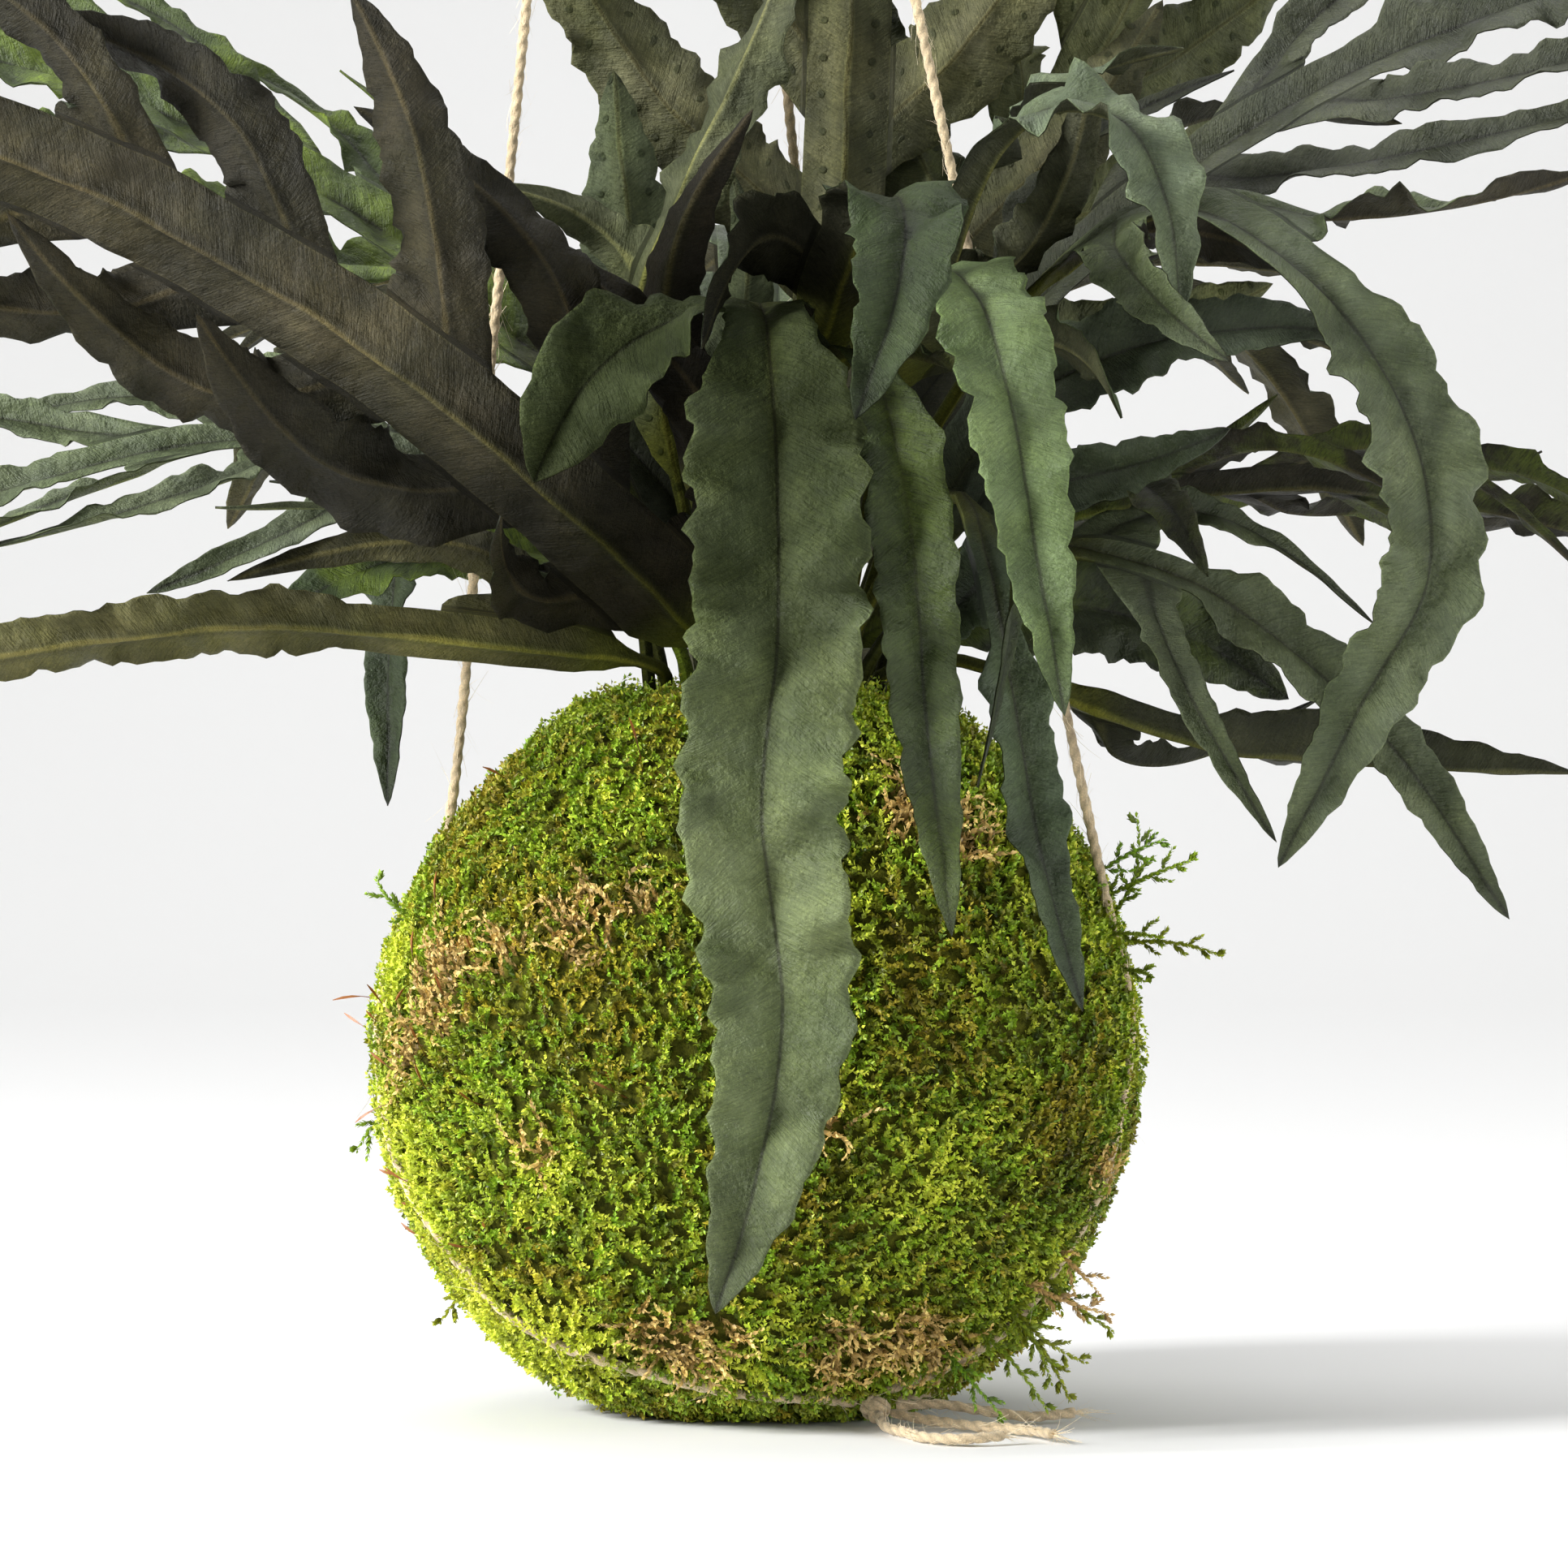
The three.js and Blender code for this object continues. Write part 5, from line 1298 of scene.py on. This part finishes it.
def green_tones(away, rng):
    """Olive, green or yellow-green by patches, each shoot a little different, with painted shade in hollows and on the
    lower right.
    """
    x, y, z = away.T
    count = len(away)
    patch = 0.5 + 0.45 * np.sin(7 * x + 3 * y + 1) * np.sin(6 * z - 4 * y)
    patch = np.clip(patch + 0.27 * rng.normal(size=count), 0, 1)[:, None]
    olive, green, lime = (np.array(linear(*c)) for c in ((156, 144, 40), (118, 152, 30), (196, 206, 64)))
    tone = np.where(patch < 0.5, olive + (green - olive) * patch * 2,
                    green + (lime - green) * (patch * 2 - 1))
    tone = tone + (lime * 1.1 - tone) * 0.7 * near(away, BRIGHT)[:, None]
    # painted shade in the hollows between cushions
    hollow_shade = smooth((0.25 - tufts(away) - 0.5 * np.sin(13 * x - 5 * z + 2) * np.sin(12 * z + 9 * y)) / 1.1)
    # painted shade on the lower right of the ball, the side away from the window light
    right = smooth((x - 0.35) / 0.6) * smooth((0.5 - z) / 0.8)
    return tone * (1.45 - 0.6 * hollow_shade - 0.4 * right + 0.2 * rng.normal(size=count))[:, None].clip(0.35, 2.0)


def planted(count, seed, dry):
    """Shoots inside the dry patches or outside them: their way out, feet and lean, and the draws."""
    rng = np.random.default_rng(seed)
    away, feet = spread_out(count, seed, rng)
    dryness, draw = near(away, DRY), rng.random(len(away))
    keep = dryness > 0.25 + 0.6 * draw if dry else dryness < 0.35 + 0.8 * draw
    away, feet = away[keep], feet[keep]
    lean = flow(away) + rng.normal(0, 0.9 if dry else 0.8, away.shape)
    return away, feet, unit(lean - np.sum(lean * away, 1)[:, None] * away), rng


def green_shoots(count, seed):
    """The green shoots: most of them outside the dry patches."""
    away, feet, lean, rng = planted(count, seed, False)
    count = len(away)
    size = 5.6 * (0.55 + 0.75 * rng.random(count))
    top = smooth((away[:, 2] - 0.7) / 0.2)
    rise = 0.5 + 0.75 * rng.random(count) + 0.5 * top
    stem, ahead = stems(feet, away, lean, size * (1 + 0.35 * top), rise, rng.normal(0, 0.7, count), 13)
    return scale_leaves(stem, ahead, away[:, None], green_tones(away, rng), rng, 1.5, 0.7)


def dry_shoots(count, seed):
    """Long tan shoots that curl, in the dry patches only."""
    away, feet, lean, rng = planted(count, seed, True)
    count = len(away)
    size = 8.5 * (0.6 + 0.8 * rng.random(count))
    rise = 0.5 + 0.7 * rng.random(count)
    stem, ahead = stems(feet, away, lean, size, rise, rng.normal(0, 2.3, count), 15)
    tan = np.array(linear(222, 188, 112)) * (0.55 + 0.85 * rng.random((count, 1)))
    return scale_leaves(stem, ahead, away[:, None], tan, rng, 1.7, 0.42)


def collar_shoots(count, seed):
    """Tall upright shoots at the mouth of the ball, round the feet of the fronds."""
    rng = np.random.default_rng(seed)
    azimuth, radius = 6.28 * rng.random(count), 19 + 17 * np.sqrt(rng.random(count))
    outward = directions(azimuth, np.zeros(count))
    feet = outward * radius[:, None]
    on_moss = CENTRE[2] + np.sqrt(MOSS_RADIUS ** 2 - radius ** 2)
    feet[:, 2] = np.where(radius < MOUTH_RADIUS, SOIL_TOP, on_moss) - 1.5
    away = unit(outward * 0.35 + [0, 0, 1.0] + rng.normal(0, 0.2, (count, 3)))
    lean = unit(np.cross(away, rng.normal(size=(count, 3))))
    size = 9.5 * (0.6 + 0.6 * rng.random(count))
    rise = 0.9 + 0.5 * rng.random(count)
    stem, ahead = stems(feet, away, lean, size, rise, rng.normal(0, 0.9, count), 15)
    tone = green_tones(unit(feet - CENTRE), rng)
    return scale_leaves(stem, ahead, away[:, None], tone, rng, 1.6, 0.66)


# %% Make the shoots
def moss_piece(name, points, faces, colours):
    """A piece of leafy shoots, flat-shaded so that each small leaf catches the light by itself."""
    piece = new_piece(name, points, faces, [MOSS], smooth=False)
    paint(piece, "moss_colour", colours)
    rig.ride(piece, "root")
    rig.slot(piece, "moss")
    print(name, len(faces), "triangles")


MOSS = moss_finish()
# layers of green shoots over the whole ball
PATCHES = 5 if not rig.quick() else 2
for part in range(PATCHES):
    moss_piece(f"moss_shoots_{part + 1}", *green_shoots(4300, 11 + part))
moss_piece("moss_dry", *dry_shoots(15000, 21))
moss_piece("moss_collar", *collar_shoots(1100, 22))


# %% [markdown]
# ### Stray sprigs and spore stalks
# Some moss has grown out of the ball: feathery sprigs with side branches on its right, and thin
# brown stalks with a capsule on its left. A sprig is a bent stem, and its branches leave it to
# both sides in turn. All of them carry the same scale leaves as the shoots.

# %% Sprigs
# each sprig: azimuth and elevation of its foot on the ball, its tip in millimetres, whether it is dry
SPRIGS = [
    (348, 27, [84, -18, 120], 0), (350, 24, [90, -22, 116], 0), (346, 19, [83, -27, 100], 0),
    (352, 17, [96, -20, 96], 0), (350, 21, [79, -12, 125], 0), (344, 13, [81, -30, 92], 0),
    (322, -40, [60, -36, 9], 0), (326, -37, [67, -32, 13], 0), (331, -33, [73, -28, 19], 0),
    (318, -44, [59, -42, 4], 0), (314, -47, [50, -46, 3], 0), (328, -42, [64, -30, 5], 0),
    (326, -35, [72, -34, 23], 1), (333, -30, [70, -30, 27], 1),
    (186, -10, [-84, -8, 55], 0), (196, -38, [-66, -16, 20], 0), (192, 22, [-80, -10, 112], 0),
]


def bent(start, way, finish, share):
    """Points and directions, at shares, of a curve that leaves start along way and ends at finish."""
    return bow(start, start + way * np.linalg.norm(finish - start) * 0.5, finish, share)


def sprig(azimuth, elevation, tip, dry, rng):
    """One sprig: a leafy main stem, and leafy branches that leave it to both sides in turn.

    The main stem has leaves every 0.28 mm, and a branch about every 3.2 mm.
    """
    away = directions(math.radians(azimuth), math.radians(elevation))
    start, finish = CENTRE + away * (MOSS_RADIUS - 1), np.array(tip, float)
    way = unit(away + rng.normal(0, 0.25, 3) + [0, 0, 0.25])
    length = np.linalg.norm(finish - start)
    main, ahead = bent(start, way, finish, np.linspace(0.02, 1, int(length / 0.28)))
    facing = np.array([0.1, -1.0, 0.2])
    count = max(4, int(length / 3.2))
    root, heading = bent(start, way, finish, np.linspace(0.18, 0.95, count))
    side = unit(np.cross(heading, facing)) * np.where(np.arange(count) % 2, 1, -1)[:, None]
    reach = (1.4 + 2.6 * np.sin(math.pi * np.linspace(0.3, 0.97, count))) * (0.6 + 0.8 * rng.random(count))
    turn = unit(heading + side + rng.normal(0, 0.2, (count, 3)))
    step = np.linspace(0.1, 1, 13)[None, :, None]
    bow = turn[:, None] * step + 0.25 * heading[:, None] * step ** 2
    branch = root[:, None] + reach[:, None, None] * bow
    along_branch = unit(turn[:, None] + 0.5 * heading[:, None] * step)
    colour = linear(220, 184, 120) if dry else linear(118 + 45 * rng.random(), 165, 42)
    for stem, along in ((main[None], ahead[None]), (branch, along_branch)):
        above = np.broadcast_to(facing, stem.shape)
        tone = np.array(colour)[None] * (0.8 + 0.4 * rng.random((len(stem), 1)))
        yield scale_leaves(stem, along, above, tone, rng, 1.7, 0.52)


def gathered(blocks):
    """Points, faces and colours of many blocks as one."""
    points, faces, colours, first = [], [], [], 0
    for block in blocks:
        points.append(block[0])
        faces.append(block[1] + first)
        colours.append(block[2])
        first += len(block[0])
    return np.vstack(points), np.vstack(faces), np.vstack(colours)


def spore_stalk(away, rng):
    """A thin brown stalk with three sides and a swollen capsule at its end."""
    start = CENTRE + away * (MOSS_RADIUS - 1)
    way = unit(away + rng.normal(0, 0.3, 3) + [0, 0, 0.5])
    share = np.linspace(0, 1, 9)
    finish = start + (way + rng.normal(0, 0.25, 3)) * (8 + 5 * rng.random())
    at, ahead = bent(start, way, finish, share)
    radius = np.array([0.13, 0.12, 0.12, 0.11, 0.11, 0.1, 0.3, 0.34, 0.1])
    side = unit(np.cross(ahead, [0.3, 0.2, 1.0]))
    turn = np.arange(3) * 2 * math.pi / 3
    ring = side[:, None] * np.cos(turn)[:, None] + np.cross(ahead, side)[:, None] * np.sin(turn)[:, None]
    points = at[:, None] + ring * radius[:, None, None]
    index = np.arange(3 * len(share)).reshape(-1, 3)
    faces = triangles(strip_faces(np.hstack([index, index[:, :1]]), True))
    tone = np.where((share > 0.7)[:, None], [linear(150, 92, 40)], [linear(112, 62, 30)])
    return points.reshape(-1, 3), faces, np.repeat(tone, 3, axis=0)


rng = np.random.default_rng(51)
moss_piece("moss_sprigs", *gathered(block for entry in SPRIGS for block in sprig(*entry, rng)))
stalk_places = np.radians(np.stack([rng.uniform(175, 255, 26), rng.uniform(-35, 58, 26)], 1))
moss_piece("spore_stalks", *gathered(spore_stalk(directions(*place), rng) for place in stalk_places))


# %% [markdown]
# ## Soil and root stock
# Only a little soil shows between the stems. It is damp and dark, with crumbs, and its solid has
# the right shape already, so it keeps its solid and gets a finish. So does the root stock.

# %% Soil and root finishes
def crumb_finish(name, dark, light, scale):
    """Crumbs of two tones with a rough relief."""
    material, tree, shader = new_material(name, 0.95, Specular_IOR_Level=0.15)
    grain = ramp(tree, noise(tree, scale, 5, 0.7), 0.38, 0.66)
    join(tree, mix(tree, grain, dark, light), shader.inputs["Base Color"])
    bump(tree, shader, noise(tree, scale * 0.6, 5, 0.75), 0.002)
    return material


for name, material in (
    ("soil_ball", crumb_finish("damp_soil", linear(22, 17, 12), linear(66, 50, 34), 500)),
    ("rhizome", crumb_finish("root_scales", linear(60, 38, 20), linear(128, 90, 52), 300)),
):
    mesh = frame["nodes"][name].data
    mesh.materials.clear()
    mesh.materials.append(material)


# %% [markdown]
# ## Jute twine
# Jute twine is two hairy yarns twisted round each other. A tube whose section has two bulges that
# turn along it gives the twist as real shape, and stray fibres are thin slips of mesh. The route
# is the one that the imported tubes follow: straight from the top knot to the ball, then round it.

# %% Twine routes
# the strands' places, in millimetres. side: a strand's route over the ball, as azimuth and elevation
# in degrees. from: where it leaves the top knot, seen from its middle. foot: where it ends.
APEX = np.array([-22.0, 0.0, 550.0])
KNOT_RADIUS = 5.0
LOOP_RADIUS = 10.0
TWINE_RADIUS = 1.1
TWINE_LIFT = 1.6
FOOT_KNOT = np.array([24.0, -35.0, 3.8])
FOOT_KNOT_RADIUS = 3.6
STRANDS = {
    "left": {"from": [-2.4, -0.6, -5.8], "foot": [19.8, -34.7, 5],
             "side": [[180, 33], [184, 14], [191, -8], [202, -28], [222, -46], [258, -57], [287, -59.5]]},
    "right": {"from": [2.4, -0.6, -5.8], "foot": [26.4, -33.4, 7.4],
              "side": [[347, 17], [345, 0], [341, -20], [334, -38], [322, -51], [313, -56]]},
    "back": {"from": [0, 2.6, -5.8], "foot": [24.4, -30.8, 4.6],
             "side": [[70, 28], [60, 6], [46, -16], [26, -35], [0, -50], [-26, -58.5], [-42, -60.5]]},
}
TAILS = {
    "front": [[24.5, -39.4, 3], [26, -48, 1.5], [30, -56, 1.3], [33, -64, 1.3], [41, -70, 1.6],
              [49, -67, 1.9]],
    "middle": [[27.4, -37.6, 3.2], [36, -42, 2], [46, -47, 1.4], [54, -54, 1.6], [59, -64, 1.9]],
    "right": [[28.3, -34.2, 4.2], [37, -34, 4.6], [47, -33, 3], [56, -32, 1.8], [65, -29, 2.3]],
}


def even_path(points):
    """Points with four equal steps in each stretch of a uniform curve through angles on the ball."""
    p, rows = spline_ends(points), []
    for a, b, c, d in zip(p, p[1:], p[2:], p[3:]):
        t = np.linspace(0, 1, 5)[:-1, None]
        rows.append(0.5 * (2 * b + (c - a) * t + (2 * a - 5 * b + 4 * c - d) * t ** 2
                           + (3 * b - a - 3 * c + d) * t ** 3))
    return np.vstack(rows + [p[-2][None]])


def strand_route(strand):
    """The straight stretch from the top knot, then the points on the moss, then the foot knot."""
    angles = np.radians(even_path(strand["side"]))
    away = directions(angles[:, 0], angles[:, 1])
    down = CENTRE + away * (moss_radius(away) + TWINE_LIFT)[:, None]
    start = APEX + strand["from"]
    straight = start + (down[0] - start) * np.array([0, 0.25, 0.5, 0.75])[:, None]
    return np.vstack([straight, down, [strand["foot"]]])


# %% Twine surface
def twine_finish():
    """Dry tan jute: fibres run along the twist, some pale and some brown."""
    material, tree, shader = new_material("jute_twine", 0.9, Specular_IOR_Level=0.15,
                                          Sheen_Weight=0.35, Sheen_Roughness=0.6)
    tone = attribute(tree, "jute_colour", "Color")
    grain = ramp(tree, noise(tree, 2600, 3, 0.6), 0.35, 0.7)
    tone = mix(tree, grain, tone, mix(tree, 1.0, tone, (1.5, 1.45, 1.4), "MULTIPLY"))
    join(tree, tone, shader.inputs["Base Color"])
    bump(tree, shader, noise(tree, 3000, 3, 0.6), 0.00025)
    return material


JUTE = twine_finish()
AROUND = 14         # points round the twine
TWINE_STEP = 0.75   # between its rings, in millimetres, like the next two
PITCH = 7.0         # of the twist
LUMP_STEP = 4       # between its thick and thin places


def twine(name, route, seed, radius=TWINE_RADIUS):
    """Two plies twisted: the tube's radius has two bulges round it, which turn once per pitch.

    Radius = r (0.72 + 0.31 |cos(angle - twist)|^0.8) (1 + lumps), with fine ridges on it.
    """
    path = Path(route)
    rows = int(path.length / TWINE_STEP) + 2
    share = np.linspace(0, 1, rows)
    at, along = path.at(share)
    side = carried(unit(np.cross(along[0], [0.3, 0.2, 1.0])), along)
    up = np.cross(along, side)
    distance = share * path.length
    angle = np.linspace(0, 2 * math.pi, AROUND, endpoint=False)[None]
    twist = 2 * math.pi * distance[:, None] / PITCH
    bulge = np.abs(np.cos(angle - twist))
    rng = np.random.default_rng(seed)
    places = np.linspace(0, path.length, int(path.length / LUMP_STEP) + 2)
    lumps = np.interp(distance, places, rng.normal(0, 0.05, len(places)))[:, None]
    r = radius * (0.72 + 0.31 * bulge ** 0.8) * (1 + lumps) + 0.03 * np.sin(11 * angle - 3 * twist)
    points = (at[:, None] + side[:, None] * (np.cos(angle) * r)[..., None]
              + up[:, None] * (np.sin(angle) * r)[..., None])
    index = np.arange(rows * AROUND).reshape(rows, AROUND)
    index = np.hstack([index, index[:, :1]])
    first, last = rows * AROUND, rows * AROUND + 1
    faces = np.vstack([triangles(strip_faces(index, False)),
                       np.stack([index[0, 1:], index[0, :-1], np.full(AROUND, first)], 1),
                       np.stack([index[-1, :-1], index[-1, 1:], np.full(AROUND, last)], 1)])
    points = np.vstack([points.reshape(-1, 3), at[:1], at[-1:]])
    # painted shade: the twine is darker in the grooves between its two plies
    groove_shade = np.append((0.68 + 0.32 * bulge).ravel(), [0.8, 0.8])[:, None]
    warm = np.repeat(0.9 + 2 * lumps, AROUND, 1).ravel()
    tone = np.array(linear(214, 194, 158))[None] * groove_shade * np.append(warm, [1, 1])[:, None]
    piece = new_piece(name, points, faces, [JUTE])
    paint(piece, "jute_colour", tone)
    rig.ride(piece, "root")
    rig.slot(piece, "twine")
    return piece, path


FIBRES_PER_MM = 1.7


def fibres(name, path, seed, end_brush=0):
    """Stray fibres: slips of three quads that leave the twine at a low angle and curl away.

    A cut end has a brush: fibres that leave the very end of the path nearly straight.
    """
    rng = np.random.default_rng(seed)
    count = int(path.length * FIBRES_PER_MM)
    share = np.concatenate([rng.random(count), np.full(end_brush, 0.999)])
    count = len(share)
    at, along = path.at(share)
    out = unit(np.cross(along, rng.normal(size=(count, 3))))
    length = 1.2 + 5.2 * rng.random(count) ** 2
    brush = share > 0.99
    length = np.where(brush, 3 + 3 * rng.random(count), length)
    forward = np.where(brush, 1.0, rng.choice([-1, 1], count))
    lean = np.where(brush, 0.35, 0.55)
    step = np.linspace(0, 1, 4)
    curl = rng.normal(0, 0.35, (count, 3))
    way = along * forward[:, None] + out * lean[:, None]
    start = at + out * np.where(brush, 0.3, 0.8)[:, None]
    step = step[:, None]
    line = start[:, None] + length[:, None, None] * (way[:, None] * step + curl[:, None] * step ** 2)
    wide = np.cross(out, along)[:, None] * 0.075 * (1 - 0.6 * step)
    points = np.stack([line - wide, line + wide], 2).reshape(-1, 3)
    points[:, 2] = np.maximum(points[:, 2], 0.1)
    first = (8 * np.arange(count)[:, None] + 2 * np.arange(3)[None]).ravel()
    quads = np.stack([first, first + 1, first + 3, first + 2], 1)
    piece = new_piece(name, points, quads, [JUTE])
    paint(piece, "jute_colour", np.tile(np.array(linear(228, 214, 184)), (len(points), 1)))
    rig.ride(piece, "root")
    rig.slot(piece, "twine")
    return piece


# %% Strands, loop, knots and tails
def metres(points):
    """Points in millimetres as plain tuples in metres, as the table wants them."""
    return [tuple(float(v) * MM for v in point) for point in points]


def loop_route():
    """The hanging loop: a ring of twine over the top knot, not quite round."""
    turn = np.linspace(-math.pi / 2, 1.5 * math.pi, 33)[:-1]
    centre = APEX + [0, 0, KNOT_RADIUS + LOOP_RADIUS + TWINE_RADIUS + 0.3]
    return centre + LOOP_RADIUS * np.stack([np.cos(turn), 0 * turn, np.sin(turn)], 1)


def wound_knot(centre, radius, first_yaw):
    """Routes for a knot: four rings of twine round one centre, each tilted another way."""
    turn = np.linspace(0, 2 * math.pi, 15)
    flat = np.stack([np.cos(turn), np.sin(turn), 0 * turn], 1) * (radius - TWINE_RADIUS)
    rings = []
    for k in range(4):
        tilt, yaw = 0.5 + 0.9 * k, 1.1 * k + first_yaw
        c, s = math.cos(tilt), math.sin(tilt)
        tilted = flat @ np.array([[1, 0, 0], [0, c, -s], [0, s, c]])
        c, s = math.cos(yaw), math.sin(yaw)
        rings.append(centre + tilted @ np.array([[c, -s, 0], [s, c, 0], [0, 0, 1]]))
    return rings


def knot(name, rings, seed, radius=TWINE_RADIUS):
    """A knot's pieces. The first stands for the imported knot."""
    return [twine(f"{name}_{k + 1}", ring, seed + k, radius)[0] for k, ring in enumerate(rings)]


for key, strand in STRANDS.items():
    route = strand_route(strand)
    piece, path = twine(f"twine_{key}", route, 31 + len(key))
    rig.replaces(piece, f"hanger_{key}")
    hair = fibres(f"twine_{key}_fibres", path, 41 + len(key))
    strand.update(piece=piece, route=route, path=path, hair=hair)
top_parts = knot("top_knot", wound_knot(APEX, KNOT_RADIUS, 0.3), 60)
piece = top_parts[0]
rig.replaces(piece, "hanger_knot")
route = loop_route()
piece = twine("top_loop", np.vstack([route, route[:1]]), 66)[0]
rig.replaces(piece, "hanger_loop")
top_parts.append(piece)
foot_parts = knot("foot_knot", wound_knot(FOOT_KNOT, FOOT_KNOT_RADIUS - 0.2, 0.9), 70, 1.0)
piece = foot_parts[0]
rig.replaces(piece, "foot_knot")
for key, strand in STRANDS.items():
    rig.cord(strand["piece"], exit=metres([strand["foot"]])[0], length=strand["path"].length * MM,
            diameter=2 * TWINE_RADIUS * MM, far_end="knot", stiffness="limp", lay="taut",
            path=metres(strand["route"]), with_pieces=[strand["hair"]] + (top_parts if key == "left" else []))
for key, route in TAILS.items():
    piece, path = twine(f"twine_tail_{key}", route, 80 + len(key))
    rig.replaces(piece, f"tail_{key}")
    hair = fibres(f"twine_tail_{key}_fibres", path, 90 + len(key), end_brush=26)
    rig.cord(piece, exit=metres(route)[0], length=path.length * MM, diameter=2 * TWINE_RADIUS * MM,
            far_end="bare", stiffness="limp", lay="loose", path=metres(route),
            with_pieces=[hair] + (foot_parts if key == "front" else []))


# %% Sizes and finish
new_low, new_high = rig.bounds()
with open("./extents.json", "w") as out:
    json.dump({"cad": [list(cad_low), list(cad_high)], "visual": [list(new_low), list(new_high)]}, out)
print("visual box", new_low, new_high)
